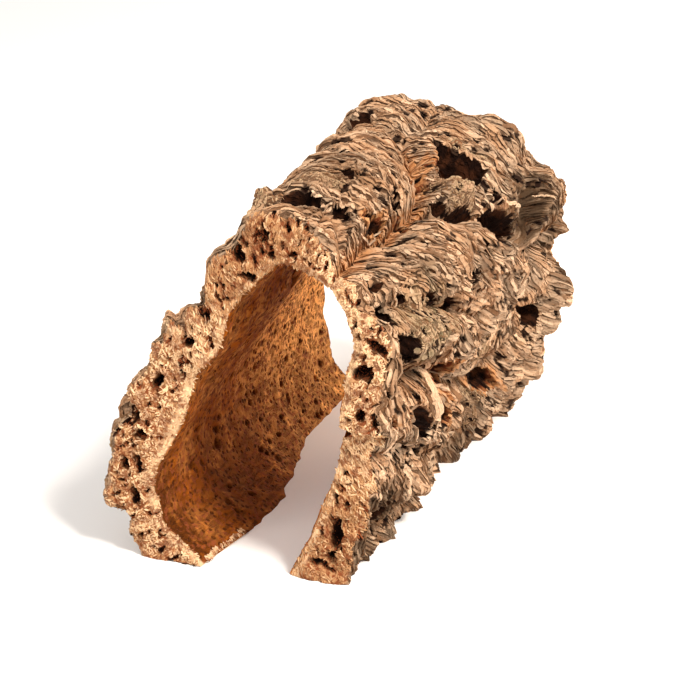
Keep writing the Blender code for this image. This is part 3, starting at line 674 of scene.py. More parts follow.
def bent(around, along, through):
    """The place of each corner of the slab, and what the finishes need to know of it."""
    cell = np.rint(around * CELLS_AROUND) * (CELLS_ALONG + 1) + np.rint(along * CELLS_ALONG)
    _, first, same = np.unique(cell, return_index=True, return_inverse=True)
    one_around, one_along = around[first], along[first]
    middle, thickness = wall(one_around, one_along)
    out = outward(one_around, one_along)
    axis = unit(lengthwise(one_around, one_along))
    side = np.cross(axis, out)
    raised, aside, *outer_notes = outer_forms(flat_map(one_around, one_along))
    swelling = aside[:, :1] * side + aside[:, 1:] * axis
    outer_share = through**2
    standing_out = (through - 0.5) * thickness[same] + raised[same] * outer_share
    place = middle[same] + out[same] * standing_out[:, None] + swelling[same] * outer_share[:, None]
    names = ("furrow", "hole", "fresh", "pore")
    notes = {name: note[same] * (through > 0.3) for name, note in zip(names, outer_notes)}
    notes["pit"] = np.zeros(len(around))
    inner = np.nonzero(through < 0.7)[0]
    inner_place = place[inner]
    pit_relief = inner_pit_relief(flat_map(one_around, one_along))
    pits, notes["pit"][inner] = (values[same][inner] for values in pit_relief)
    lumpy = 1.6 * rough(inner_place, 22.0, 9) + 0.8 * rough(inner_place, 7.0, 10)
    lumpy += 0.35 * rough(inner_place * (1, 0.35, 1), 2.4, 23) + pits
    place[inner] += out[same][inner] * ((1 - through[inner]) ** 2 * lumpy)[:, None]
    place[:, 1] += end_relief(around, along, through, place)
    front = np.nonzero(along < 1e-4)[0]
    pit_depth, pit_share = front_pit_relief(place[front])
    place[front, 1] += pit_depth
    notes["hole"][front] = np.maximum(notes["hole"][front] * through[front] ** 2, pit_share)
    return place, notes


around, along, through = address.T
bent_place, notes = bent(around, along, through)
print("bent bark, lowest and highest in mm:", bent_place.min(axis=0), bent_place.max(axis=0))

# %% [markdown]
# The lamellae and the grains that come later lie on the skin of the body: its outer face, its inner face
# and its two torn ends. Each of these is still a regular grid of corners, so a skin is kept as a grid and
# read between its points. This is done before the body is thinned out.

# %% The skins of the body


class Skin:
    """One side of the body as a grid of places, which can be read between its points."""

    def __init__(self, picked, first, second, flip):
        rows, columns = int(first.max()) + 1, int(second.max()) + 1
        self.places = np.empty((rows, columns, 3))
        self.places[first, second] = bent_place[picked]
        self.notes = {name: np.zeros((rows, columns)) for name in notes}
        for name, grid in self.notes.items():
            grid[first, second] = notes[name][picked]
        along_rows = np.gradient(self.places, axis=0)
        along_columns = np.gradient(self.places, axis=1)
        self.out = unit(np.cross(along_rows, along_columns)) * flip

    def read(self, grid, a, b):
        """The value of a grid at a and b, from 0 to 1 down its rows and along its columns."""
        x = np.clip(a, 0, 1) * (grid.shape[0] - 1)
        y = np.clip(b, 0, 1) * (grid.shape[1] - 1)
        i = np.clip(x.astype(int), 0, grid.shape[0] - 2)
        j = np.clip(y.astype(int), 0, grid.shape[1] - 2)
        fx, fy = x - i, y - j
        if grid.ndim == 3:
            fx, fy = fx[..., None], fy[..., None]
        near = grid[i, j] * (1 - fx) + grid[i + 1, j] * fx
        far = grid[i, j + 1] * (1 - fx) + grid[i + 1, j + 1] * fx
        return near * (1 - fy) + far * fy


row = np.rint(around * CELLS_AROUND).astype(int)
column = np.rint(along * CELLS_ALONG).astype(int)
layer = np.rint(through * CELLS_THROUGH).astype(int)


def skin(chosen, first, second, flip):
    """The skin of the chosen corners, with outward directions."""
    picked = np.nonzero(chosen)[0]
    return Skin(picked, first[picked], second[picked], flip)


outer_skin = skin(layer == CELLS_THROUGH, row, column, 1)
inner_skin = skin(layer == 0, row, column, -1)
front_skin = skin(column == 0, row, layer, 1)
back_skin = skin(column == CELLS_ALONG, row, layer, -1)
print("mean outward direction of the front end:", front_skin.out.mean(axis=(0, 1)).round(2))

# %% Thinning the body and cutting its feet flat
BODY_TRIANGLES = 196000

set_values(body.data, "around", around)
set_values(body.data, "along", along)
set_values(body.data, "through", through)
for name, values in notes.items():
    set_values(body.data, name, values)
set_coordinates(body.data, bent_place)


def evaluated(obj):
    """The object's mesh with its modifiers worked out."""
    return bpy.data.meshes.new_from_object(obj.evaluated_get(bpy.context.evaluated_depsgraph_get()))


def thin_out(obj, triangles):
    """Merge the faces that matter least to the form, until that many triangles are left."""
    fewer = obj.modifiers.new("fewer faces", "DECIMATE")
    fewer.ratio = triangles / (2 * len(obj.data.polygons))
    fewer.use_collapse_triangulate = True
    thinned = evaluated(obj)
    obj.modifiers.clear()
    obj.data = thinned


def cut_flat(obj):
    """Cut away what is below the surface the branch stands on, and close the two feet."""
    bm = bmesh.new()
    bm.from_mesh(obj.data)
    whole = bm.verts[:] + bm.edges[:] + bm.faces[:]
    cut = bmesh.ops.bisect_plane(bm, geom=whole, plane_co=(0, 0, 0), plane_no=(0, 0, -1), clear_outer=True)
    rim = [e for e in cut["geom_cut"] if isinstance(e, bmesh.types.BMEdge)]
    bmesh.ops.triangle_fill(bm, edges=rim, use_beauty=True, normal=(0, 0, -1))
    open_edges = sum(1 for e in bm.edges if len(e.link_faces) != 2)
    bmesh.ops.recalc_face_normals(bm, faces=bm.faces)
    bm.to_mesh(obj.data)
    bm.free()
    return open_edges


thin_out(body, BODY_TRIANGLES)
print("after thinning:", len(body.data.polygons), "triangles")
print("open edges after the feet were cut flat:", cut_flat(body))

# %% Bringing a piece to the frame


def finish_piece(obj, finish):
    """Bring a piece from millimetres to the frame, and say what it rides on and what it is made of."""
    set_coordinates(obj.data, (coordinates(obj.data) + TO_ORIGIN) * TO_METRES)
    obj.data.materials.clear()
    obj.data.materials.append(finish)
    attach(obj, "root")
    print(obj.name, "has", sum(len(p.vertices) - 2 for p in obj.data.polygons), "triangles")


# %% [markdown]
# ## The lamellae
#
# The edges of the yearly layers are what makes cork bark look as it does: long thin slivers, 1 to 2 mm
# apart, that overlap like shingles with dark gaps below their lips. A bump map would be flat where the
# light grazes, and a finer body would need millions of faces. So each lamella is a small wedge of its own:
# one prism with three sides, cut into six lengths. An Array modifier makes the thousands of copies, and
# each copy is then laid along the lamella lines of its plate. Each has only a few dozen faces.

# %% One lamella and its copies
LENGTHS = 6
RINGS = LENGTHS + 1
COPY_STEP = 2.0


def bar(sides, radius, lengths):
    """A bar with that many sides, one unit long, cut into lengths."""
    bm = bmesh.new()
    bmesh.ops.create_cone(bm, cap_ends=True, segments=sides, radius1=radius, radius2=radius, depth=1.0)
    cut_upright(bm, lengths)
    return bm


def copies(name, bm, count):
    """(an object with that many copies of the shape, the corners of the shape)."""
    obj = add_object(name, bm)
    shape = coordinates(obj.data)
    array = obj.modifiers.new("copies", "ARRAY")
    array.count = count
    array.use_relative_offset = False
    array.use_constant_offset = True
    array.constant_offset_displace = (0.0, 0.0, COPY_STEP)
    many = evaluated(obj)
    obj.modifiers.clear()
    obj.data = many
    return obj, shape


ABOVE_FLOOR = 0.15


def lay_down(obj, moved):
    """Move the corners of all the copies, and keep them above the floor."""
    moved[..., 2] = np.maximum(moved[..., 2], ABOVE_FLOOR)
    set_coordinates(obj.data, moved.reshape(-1, 3))


# %% Where the lamellae run
def lamella_rows(pitch, mean_length, seed):
    """For each lamella: its plate, its way across the plate, and where it starts and ends along the grain."""
    dice = np.random.default_rng(seed)
    found = []
    for plate in range(len(PLATES)):
        for way in np.arange(-52.0, 52.0, pitch):
            start = -48.0 + dice.uniform(-6, 6)
            while start < 48.0:
                length = mean_length * PLATE_STRETCH[plate] * dice.lognormal(0.0, 0.48)
                found.append((plate, way + dice.normal(0, pitch * 0.16), start, start + length))
                start += length * dice.uniform(0.80, 1.02)
    return np.array(found)


def on_the_bark(plate, way, with_grain):
    """The flat place at that way across a plate and along its grain."""
    across = way.copy()
    for _ in range(4):
        across = way - lamella_bend(plate, with_grain, across, LAMELLA_WAVE)
    turn = PLATE_TURNS[plate]
    x = with_grain * np.cos(turn) - across * np.sin(turn)
    y = with_grain * np.sin(turn) + across * np.cos(turn)
    return PLATE_SEEDS[plate] + np.stack([x, y], axis=1)


def lamella_lines(pitch, mean_length, seed):
    """(flat place of each ring of each lamella, plate, way across, way along each ring)."""
    found = lamella_rows(pitch, mean_length, seed)
    plate = found[:, 0].astype(int)
    middle = on_the_bark(plate, found[:, 1], found[:, 2:4].mean(axis=1))
    inside = (middle > (1.0, 2.0)).all(axis=1) & (middle < (GIRTH - 1.0, LENGTH - 1.5)).all(axis=1)
    found, plate, middle = found[inside], plate[inside], middle[inside]
    own = nearest_plate(middle, wander_of(middle)) == plate
    found, plate = found[own], plate[own]
    share = np.linspace(0, 1, RINGS)
    with_grain = found[:, 2:3] * (1 - share) + found[:, 3:4] * share
    way = np.repeat(found[:, 1], RINGS)
    lines = on_the_bark(np.repeat(plate, RINGS), way, with_grain.ravel())
    return lines.reshape(-1, RINGS, 2), plate, found[:, 1], with_grain


LAMELLA_PITCH = 1.0
LAMELLA_LENGTH = 6.3

lines, line_plate, line_way, line_grain = lamella_lines(LAMELLA_PITCH, LAMELLA_LENGTH, 11)
print(len(lines), "lamella lines")

# %% Lamellae end at the holes
HOLE_EDGE = 0.10
FEWEST_LENGTHS = 2


def clear_stretch(over):
    """(first, last) ring of each lamella's longest stretch that isn't over a hole."""
    clear = np.concatenate([np.zeros((len(over), 1), int), np.cumsum(~over, axis=1)], axis=1)
    first, last = np.zeros(len(over), int), np.full(len(over), -1)
    for start in range(RINGS):
        for end in range(start, RINGS):
            longer = (clear[:, end + 1] - clear[:, start] == end - start + 1) & (end - start > last - first)
            first[longer], last[longer] = start, end
    return first, last


def drawn_together(rings, first, last):
    """The rings of each lamella moved onto the stretch from its first to its last ring."""
    where = first[:, None] + np.linspace(0, 1, RINGS) * (last - first)[:, None]
    low = np.clip(where.astype(int), 0, RINGS - 2)
    share = where - low
    each = np.arange(len(rings))[:, None]
    if rings.ndim == 3:
        share = share[..., None]
    return rings[each, low] * (1 - share) + rings[each, low + 1] * share


over = outer_skin.read(outer_skin.notes["hole"], lines[..., 0] / GIRTH, lines[..., 1] / LENGTH) > HOLE_EDGE
first, last = clear_stretch(over)
long_enough = last - first >= FEWEST_LENGTHS
lines = drawn_together(lines, first, last)[long_enough]
line_grain = drawn_together(line_grain, first, last)[long_enough]
line_plate, line_way = line_plate[long_enough], line_way[long_enough]
print(len(lines), "lamella lines are clear of the holes")

# %% Laying the lamellae on the bark
# The corners of the wedge: (across the lamella, out of the bark, lift from 0 in the gap to 1 on the edge).
# The finish paints the lift as light and shade: dark painted shade in the gap, pale on the edge.
BACK_CORNER = (1.25, 0.0, 0.6)
LIP_CORNER = (-0.95, 0.85, 1.0)
FOOT_CORNER = (-0.65, -0.60, 0.0)
LAMELLA_WIDTH = 0.68
# Most lamellae are between these heights, and a few are taller.
LAMELLA_HEIGHTS = (0.5, 1.15)
TALL_TIMES = 1.8
TALL_SHARE = 0.12
# The dark hollow on the right where the lamellae stand as strands: around, along and its half widths.
SHELL_SPOT = (0.727, 0.79, 17, 22)


def lay_lamellae(name, chosen, seed):
    """One piece with the chosen lamellae, each following its line on the outer face."""
    dice = np.random.default_rng(seed)
    obj, shape = copies(name, bar(3, 0.5, LENGTHS), len(chosen))
    ring = np.rint((shape[:, 2] + 0.5) * LENGTHS).astype(int)
    angle = np.arctan2(shape[:, 1], shape[:, 0])
    first_ring = np.sort(angle[ring == 0])
    corner = np.abs(angle[:, None] - first_ring[None]).argmin(axis=1)
    section = np.array((BACK_CORNER, LIP_CORNER, FOOT_CORNER))

    flat = lines[chosen]
    a = np.clip(flat[..., 0] / GIRTH, 0.001, 0.999)
    b = np.clip(flat[..., 1] / LENGTH, 0.004, 0.997)
    place = outer_skin.read(outer_skin.places, a, b)
    run = unit(np.gradient(place, axis=1))
    out = square_to(unit(outer_skin.read(outer_skin.out, a, b)), run)
    across = np.cross(out, run)

    count = len(chosen)
    length = np.linalg.norm(np.diff(place, axis=1), axis=2).sum(axis=1)
    share = np.linspace(0, 1, RINGS)
    taper = np.sin(math.pi * (share * 0.92 + 0.04)) ** 0.38
    wide = np.clip(LAMELLA_WIDTH * dice.lognormal(0, 0.30, (count, 1)), 0.4, 1.4) * taper
    high = dice.uniform(*LAMELLA_HEIGHTS, (count, 1))
    high = high * dice.choice((1.0, TALL_TIMES), (count, 1), p=(1 - TALL_SHARE, TALL_SHARE))
    high = high * taper * dice.uniform(0.55, 1.30, (count, RINGS))
    swing = np.sin(share * dice.uniform(3, 7, (count, 1)) + dice.uniform(0, 6, (count, 1)))
    sway = dice.normal(0, 0.11, (count, RINGS)) + 0.2 * swing
    rise = dice.normal(0.30, 0.18, (count, 1)) * np.ones(RINGS)
    calm = np.clip(1 - outer_skin.read(outer_skin.notes["furrow"], a, b) * 0.8, 0.4, 1)
    far = np.clip((b - 0.55) / 0.15, 0, 1) * np.clip((a - 0.45) / 0.05, 0, 1)
    around, along, wide_spot, long_spot = SHELL_SPOT
    shell = 1 - np.hypot((a - around) * GIRTH / wide_spot, (b - along) * LENGTH / long_spot)
    shell = np.clip(2.5 * shell, 0, 1)
    high = high * (calm * (1 - 0.40 * far) * (1 - shell) + 1.3 * shell)

    def at(grid):
        """The values of each corner's ring."""
        return grid[:, ring]

    x = section[corner, 0] * at(wide) + at(sway)
    z = section[corner, 1] * at(high) + at(rise)
    moved = at(place) + at(across) * x[..., None] + at(out) * z[..., None]
    lay_down(obj, moved)
    # The finish paints the lift as dark shade in the gap and under the lip, and as a pale lit edge; towards the
    # back, from the top to the right, the painted gaps are a little lighter.
    lift = np.broadcast_to(section[corner, 2], (count, len(ring)))
    lift = lift + 0.22 * at(far * (1 - shell)) * (1 - lift)
    cluster = np.clip(0.5 + 0.9 * rough(place[:, RINGS // 2], 6.0, 81), 0, 1)
    tone = 0.5 * dice.uniform(0, 1, count) + 0.5 * cluster
    values = {"lift": lift, "tone": np.broadcast_to(tone[:, None], lift.shape), "around": at(a), "along": at(b)}
    for note in ("pore", "fresh"):
        values[note] = at(outer_skin.read(outer_skin.notes[note], a, b))
    for note, value in values.items():
        set_values(obj.data, note, value.ravel())
    grain = np.stack([at(line_grain[chosen]), line_way[chosen][:, None] + x * 0.9], axis=2).reshape(-1, 2)
    return obj, grain, length


def set_grain_map(mesh, grain):
    """A UV map in millimetres: along the lamellae and across them."""
    corners = np.empty(len(mesh.loops), np.int32)
    mesh.loops.foreach_get("vertex_index", corners)
    layer = mesh.uv_layers.new(name="grain")
    layer.uv.foreach_set("vector", grain[corners].astype(np.float32).ravel())


# A patch where the crust is worn to grains: (around, along, half width around, half width along).
GRAINY_SPOTS = (
    (0.655, 0.545, 14.0, 12.5), (0.738, 0.14, 12.0, 17.0), (0.770, 0.300, 9.0, 9.0), (0.862, 0.60, 9.0, 15.0),
    (0.942, 0.70, 11.0, 18.0), (0.528, 0.205, 16.0, 12.0), (0.500, 0.055, 9.0, 9.0),
    (0.628, 0.752, 16.0, 4.5), (0.17, 0.0, 78.0, 14.0),
)


def grainy_at(flat):
    """How much the crust is worn to grains, from 0 to 1."""
    return np.clip(np.max([1.5 * (1 - from_spot(flat, *spot)) for spot in GRAINY_SPOTS], axis=0), 0, 1)


SHARE_LOST = 0.08
FEET_BELOW = 1.0
BARE_FROM = 0.45


def where_lamellae_lie():
    """The lamellae that aren't lost, worn to grains or under the feet."""
    a, b = lines[..., 0] / GIRTH, lines[..., 1] / LENGTH
    feet = outer_skin.read(outer_skin.places, a, b)[..., 2].min(axis=1) < FEET_BELOW
    lost = np.random.default_rng(77).uniform(0, 1, len(lines)) < SHARE_LOST
    grainy = grainy_at(lines[:, RINGS // 2]) > BARE_FROM
    return np.nonzero(~feet & ~lost & ~grainy)[0]


kept = where_lamellae_lie()
middle_around = lines[kept, RINGS // 2, 0] / GIRTH
LAMELLA_PIECES = (("lamellae_left", 0.0, 0.42), ("lamellae_top", 0.42, 0.69), ("lamellae_right", 0.69, 1.0))
lamellae = []
for number, (name, low, high) in enumerate(LAMELLA_PIECES):
    chosen = kept[(middle_around >= low) & (middle_around < high)]
    obj, grain, length = lay_lamellae(name, chosen, 100 + number)
    set_grain_map(obj.data, grain)
    lamellae.append(obj)
    print(name, len(chosen), "lamellae, mean length", length.mean().round(1), "mm")

# %% [markdown]
# ## The torn grains
#
# Cork tears between its cells. The ends of the branch show a pale face of short raised strokes and grains,
# each about 2 mm long, and so do the front corners of the feet. Where the crust is worn, grains show on the
# outer face too. A displaced face would need far more cells for this. So one small rounded grain of twenty
# faces is copied, stretched and laid on the skins.

# %% One grain and its copies
LONGEST_GRAIN = 1.7
GRAIN_WIDTHS = (0.40, 0.85)
GRAIN_HEIGHTS = (0.6, 1.4)
# Grains lower than this many millimetres, or this deep in a hole, are made small, so that none sticks out.
SMALL_BELOW = 1.5
SMALL_IN_HOLE = 0.55
SMALL_TIMES = 0.4


def one_grain():
    """A rounded grain of twenty faces."""
    bm = bmesh.new()
    bmesh.ops.create_icosphere(bm, subdivisions=1, radius=0.5)
    return bm


def lay_grains(name, end_skin, a, b, seed, mean_turn, spread, stretch, darker):
    """One piece with a stretched grain at each place a, b of a skin of the bark."""
    dice = np.random.default_rng(seed)
    count = len(a)
    obj, shape = copies(name, one_grain(), count)
    place = end_skin.read(end_skin.places, a, b)
    out = unit(end_skin.read(end_skin.out, a, b))
    turn = np.radians(mean_turn(a) + dice.normal(0, spread(a), count))
    stroke = square_to(np.stack([np.sin(turn), np.zeros(count), np.cos(turn)], axis=1), out)
    beside = np.cross(out, stroke)
    long = np.minimum(dice.lognormal(0.0, 0.35, count), LONGEST_GRAIN) * stretch(a)
    wide = dice.uniform(*GRAIN_WIDTHS, count)
    high = dice.uniform(*GRAIN_HEIGHTS, count)
    x = shape[:, 0] * wide[:, None]
    y = shape[:, 1] * long[:, None]
    z = shape[:, 2] * high[:, None]
    moved = place[:, None] + out[:, None] * z[..., None] - beside[:, None] * x[..., None]
    moved += stroke[:, None] * y[..., None]
    hole = end_skin.read(end_skin.notes["hole"], a, b)
    small = (place[:, 2] < SMALL_BELOW) | (hole > SMALL_IN_HOLE)
    middle = moved[small].mean(axis=1, keepdims=True)
    moved[small] = middle + (moved[small] - middle) * SMALL_TIMES
    lay_down(obj, moved)
    set_values(obj.data, "tone", np.repeat(dice.uniform(0, 1, count) + darker(a), len(shape)))
    set_values(obj.data, "hole", np.repeat(hole, len(shape)))
    return obj


# %% Where the grains lie, and how


def front_spread(a):
    """How much the strokes differ in direction, in degrees."""
    return np.interp(a, FRONT_STOPS, FRONT_SPREADS)


def front_length(a):
    """How long the strokes are: longest in the smooth recess low on the right."""
    return np.interp(a, FRONT_STOPS, FRONT_LENGTHS)


def front_darker(a):
    """The top and the lowest part on the right are a little darker."""
    return 0.5 * np.interp(a, (0.38, 0.44, 0.56, 0.62, 0.88, 0.93), (0, 1, 1, 0, 0, 1))


def even_tone(a):
    """As bright all over."""
    return 0.0 * a


def any_turn(a):
    """No main direction."""
    return a * 360.0


def wide_spread(a):
    """Strokes that lie nearly every way, in degrees."""
    return np.full(len(a), 50.0)


def short_length(a):
    """Grains and strokes of 1.7 mm."""
    return np.full(len(a), 1.7)


def over_the_end(count, seed):
    """Random places on the skin of an end."""
    dice = np.random.default_rng(seed)
    return dice.uniform(0.0, 1.0, count), dice.uniform(0.02, 0.98, count)


def over_the_worn_spots(count, seed):
    """Random places on the worn patches of the outer face."""
    dice = np.random.default_rng(seed)
    a, b = dice.uniform(0.03, 1.0, 40 * count), dice.uniform(0.004, 0.95, 40 * count)
    clear = outer_skin.read(outer_skin.notes["hole"], a, b) < 0.05
    worn = np.nonzero(clear & (grainy_at(flat_map(a, b)) > 0.25))[0][:count]
    return a[worn], b[worn]


FOOT_SHARE = 0.035


def along_the_feet(count, seed):
    """Random places low on the inner face, at the front corners of the two feet."""
    dice = np.random.default_rng(seed)
    many = 60 * count
    a = dice.choice((FOOT_SHARE, 1 - FOOT_SHARE), many) + dice.uniform(-FOOT_SHARE, FOOT_SHARE, many)
    b = 0.01 + 0.15 * dice.uniform(0, 1, many) ** 1.5
    height = inner_skin.read(inner_skin.places, a, b)[:, 2]
    low = np.nonzero((height > 0.9) & (height < 2.2))[0][:count]
    return a[low], b[low]


front_grains = lay_grains(
    "torn_grains_front", front_skin, *over_the_end(9400, 31), 31, front_turn, front_spread, front_length,
    front_darker)
plain = (any_turn, wide_spread, short_length, even_tone)
back_grains = lay_grains("torn_grains_back", back_skin, *over_the_end(4200, 32), 32, *plain)
worn_grains = lay_grains("worn_grains", outer_skin, *over_the_worn_spots(3600, 33), 33, *plain)
foot_grains = lay_grains("torn_grains_feet", inner_skin, *along_the_feet(300, 34), 34, *plain)
for obj in (front_grains, back_grains, worn_grains, foot_grains):
    print(obj.name, "has", len(obj.data.polygons) // 20, "grains")

# %% [markdown]
# ## The loose strips
#
# Low on the right the bark has peeled into a few pale strips, twisted and up to 5 mm wide, with a dark
# cavity between them. A curve with a bevel could make them, but its ends would be harder to taper. So each
# strip is a thin bar that follows its own line over the bark and turns about itself on the way.

# %% The strips
# A strip: (half width, lift off the bark, turns about itself, its line over the bark).
STRIPS = (
    (2.6, 2.2, 0.25, (
        (0.806, 0.120), (0.820, 0.138), (0.832, 0.125), (0.846, 0.130), (0.866, 0.160), (0.884, 0.188),
        (0.905, 0.215), (0.925, 0.250), (0.940, 0.276))),
    (2.5, 2.2, -0.20, (
        (0.806, 0.200), (0.818, 0.222), (0.829, 0.225), (0.842, 0.234), (0.856, 0.250), (0.870, 0.268),
        (0.881, 0.280), (0.894, 0.272))),
    (1.7, 1.6, 0.20, (
        (0.850, 0.105), (0.868, 0.125), (0.885, 0.150), (0.905, 0.190), (0.930, 0.238), (0.950, 0.262))),
    (1.2, 1.8, 0.4, ((0.836, 0.265), (0.842, 0.290), (0.850, 0.320), (0.858, 0.360), (0.872, 0.400))),
    (0.9, 1.6, -0.4, ((0.828, 0.290), (0.836, 0.320), (0.846, 0.355), (0.858, 0.400), (0.868, 0.450))),
    (0.8, 1.2, 0.5, ((0.812, 0.030), (0.838, 0.045), (0.862, 0.060), (0.884, 0.095), (0.905, 0.120))),
    (0.7, 1.4, 0.4, ((0.618, 0.150), (0.626, 0.168), (0.634, 0.205), (0.636, 0.240))),
    (0.5, 1.4, 0.3, ((0.720, 0.836), (0.726, 0.846), (0.735, 0.858), (0.744, 0.868))),
    (1.1, 1.0, 0.3, ((0.668, 0.640), (0.683, 0.660), (0.700, 0.690), (0.712, 0.735), (0.716, 0.780))),
)
STRIP_LENGTHS = 28
STRIP_THICKNESS = 0.45


def lay_strips(name):
    """One piece with all the loose strips."""
    obj, shape = copies(name, bar(4, 1.0, STRIP_LENGTHS), len(STRIPS))
    share = shape[:, 2] + 0.5
    moved = np.empty((len(STRIPS), len(shape), 3))
    grain = np.empty((len(STRIPS), len(shape), 2))
    for number, (half_width, lift, turns, line) in enumerate(STRIPS):
        a, b = spline(np.array(line, float), share).T
        place, ahead, behind = (
            outer_skin.read(outer_skin.places, *spline(np.array(line, float), np.clip(share + step, 0, 1)).T)
            for step in (0.0, 0.02, -0.02))
        run = unit(ahead - behind)
        out = square_to(unit(outer_skin.read(outer_skin.out, a, b)), run)
        beside = np.cross(out, run)
        spin = (share - 0.5) * turns * 2 * math.pi
        taper = np.sin(math.pi * (share * 0.84 + 0.08)) ** 0.5
        wave = 1 + 0.3 * rough_flat(np.column_stack([share * 60.0, np.full(len(share), number * 9.0)]), 8.0, 61)
        x = shape[:, 0] * half_width * taper * wave
        z = shape[:, 1] * STRIP_THICKNESS * taper
        up = lift * np.sin(math.pi * share) ** 0.6 + x * np.sin(spin) + z * np.cos(spin)
        aside = x * np.cos(spin) - z * np.sin(spin)
        moved[number] = place + out * up[:, None] + beside * aside[:, None]
        grain[number] = np.column_stack([share * 30.0, number * 40.0 + x])
    lay_down(obj, moved)
    set_grain_map(obj.data, grain.reshape(-1, 2))
    for note, value in (("lift", 1.0), ("tone", 1.0), ("fresh", 0.0), ("pore", 0.0)):
        set_values(obj.data, note, np.full(moved.shape[0] * moved.shape[1], value))
    return obj


strips = lay_strips("loose_strips")
print(len(STRIPS), "loose strips, the widest", 2 * max(strip[0] for strip in STRIPS), "mm wide")

# %% [markdown]
# ## The finishes
#
# Cork has no gloss, so a finish here is its colour and its small bumps. Most colours of one piece of bark
# come from what happened to it: old crust is grey tan, fresh cork in the furrows is orange, and torn cork
# is cream. Some are painted light and shade: dark brown shade in the gaps between the lamellae, near black
# shade in the holes and pores, darker patches of shade in the hollows on the right, and on the inner face
# orange where light falls and dark brown where it doesn't. The numbers that were kept at the vertices say
# which is where.
# A small class lets the shader maths be written as plain expressions.

# %% Shader maths as expressions


class Mask:
    """A socket in a material. Python's operators on it add Math nodes."""

    def __init__(self, finish, socket):
        self.finish, self.socket = finish, socket

    def maths(self, operation, a, b):
        """A Math node on two masks or numbers."""
        return self.finish.node("ShaderNodeMath", {"operation": operation}, {0: a, 1: b})

    def __add__(self, other):
        return self.maths("ADD", self, other)

    __radd__ = __add__

    def __sub__(self, other):
        return self.maths("SUBTRACT", self, other)

    def __rsub__(self, other):
        return self.maths("SUBTRACT", other, self)

    def __mul__(self, other):
        return self.maths("MULTIPLY", self, other)

    __rmul__ = __mul__

    def between(self, low, high):
        """0 below low, 1 above high, and a smooth rise between them."""
        sockets = {"Value": self, "From Min": low, "From Max": high}
        return self.finish.node("ShaderNodeMapRange", {"interpolation_type": "SMOOTHSTEP"}, sockets)


class Finish:
    """A material for the cork, with one method that adds any node."""

    def __init__(self, name):
        self.material = bpy.data.materials.new(name)
        self.material.use_nodes = True
        self.tree = self.material.node_tree
        self.surface = self.tree.nodes["Principled BSDF"]
        self.surface.inputs["Specular IOR Level"].default_value = 0.08
        self.place = self.node("ShaderNodeTexCoord", {}, {}, "Object")

    def node(self, kind, settings, sockets, output=0):
        """Add a node: its settings first, then a value or a link for each of its sockets."""
        made = self.tree.nodes.new(kind)
        for name, value in settings.items():
            setattr(made, name, value)
        for name, value in sockets.items():
            self.feed(made.inputs[name], value)
        return Mask(self, made.outputs[output])

    def feed(self, socket, value):
        """Link a mask to a socket, or set the socket's own value."""
        if isinstance(value, Mask):
            self.tree.links.new(value.socket, socket)
        elif isinstance(value, tuple) and len(value) == 3 and socket.type == "RGBA":
            socket.default_value = (*value, 1.0)
        else:
            socket.default_value = value

    def kept(self, name):
        """The number that the piece keeps at its vertices under that name."""
        return self.node("ShaderNodeAttribute", {"attribute_name": name}, {}, "Fac")

    def speckle(self, size, detail=3.0, stretch=(1, 1, 1), where=None, roughness=0.55):
        """Cloudy noise with patches of that size in millimetres."""
        scaled = self.node("ShaderNodeMapping", {}, {"Vector": where or self.place, "Scale": stretch})
        unit_size = 1.0 / (size * (1.0 if where else TO_METRES))
        inputs = {"Vector": scaled, "Scale": unit_size, "Detail": detail, "Roughness": roughness}
        return self.node("ShaderNodeTexNoise", {}, inputs, "Fac")

    def cells(self, size):
        """The distance to the nearest of scattered points, that many millimetres apart."""
        inputs = {"Vector": self.place, "Scale": 1.0 / (size * TO_METRES)}
        return self.node("ShaderNodeTexVoronoi", {}, inputs, "Distance")

    def blend(self, share, first, second):
        """The first colour where share is 0, the second where it is 1."""
        return self.node("ShaderNodeMix", {"data_type": "RGBA"}, {0: share, 6: first, 7: second}, 2)

    def bump(self, height, depth, below=None):
        """Small bumps, with that depth in millimetres."""
        sockets = {"Height": height, "Distance": depth * TO_METRES, "Strength": 1.0}
        if below is not None:
            sockets["Normal"] = below
        return self.node("ShaderNodeBump", {}, sockets)

    def dress(self, colour, roughness, normal):
        """Feed the surface and give the material."""
        self.feed(self.surface.inputs["Base Color"], colour)
        self.feed(self.surface.inputs["Roughness"], roughness)
        self.feed(self.surface.inputs["Normal"], normal)
        return self.material


# %% The colours of cork
CRUST_TAN = (0.40, 0.22, 0.115)
CRUST_PALE = (0.75, 0.51, 0.33)
CRUST_GREY = (0.23, 0.16, 0.105)
CRUST_BROWN = (0.16, 0.070, 0.030)
CRUST_DARK_AND_SHADE = (0.036, 0.018, 0.008)
CAVITY_RED = (0.070, 0.022, 0.008)
GAP_SHADE = (0.035, 0.014, 0.006)
HOLE_SHADE = (0.012, 0.004, 0.002)
FRESH_ORANGE = (0.50, 0.225, 0.085)
FRESH_RED = (0.22, 0.055, 0.018)
TORN_CREAM = (0.74, 0.50, 0.29)
TORN_TAN = (0.40, 0.205, 0.09)
TORN_RED = (0.19, 0.055, 0.020)
INNER_BROWN = (0.40, 0.100, 0.006)
INNER_ORANGE = (0.95, 0.44, 0.13)
INNER_DARK = (0.095, 0.024, 0.002)
LICHEN = (0.19, 0.150, 0.074)
WORN_PALE = (0.45, 0.30, 0.175)
WORN_TAN = (0.27, 0.175, 0.095)
FLOOR_WHITE = (0.88, 0.87, 0.86)

print("crust", CRUST_TAN, "torn cork", TORN_CREAM, "inner face", INNER_BROWN)

# %% The finish of the crust


def grain_lines(finish, where):
    """Fine stripes along the lamellae, from 0 to 1."""
    return finish.speckle(1.1, 4.0, (0.14, 1.0, 1.0), where, 0.6)


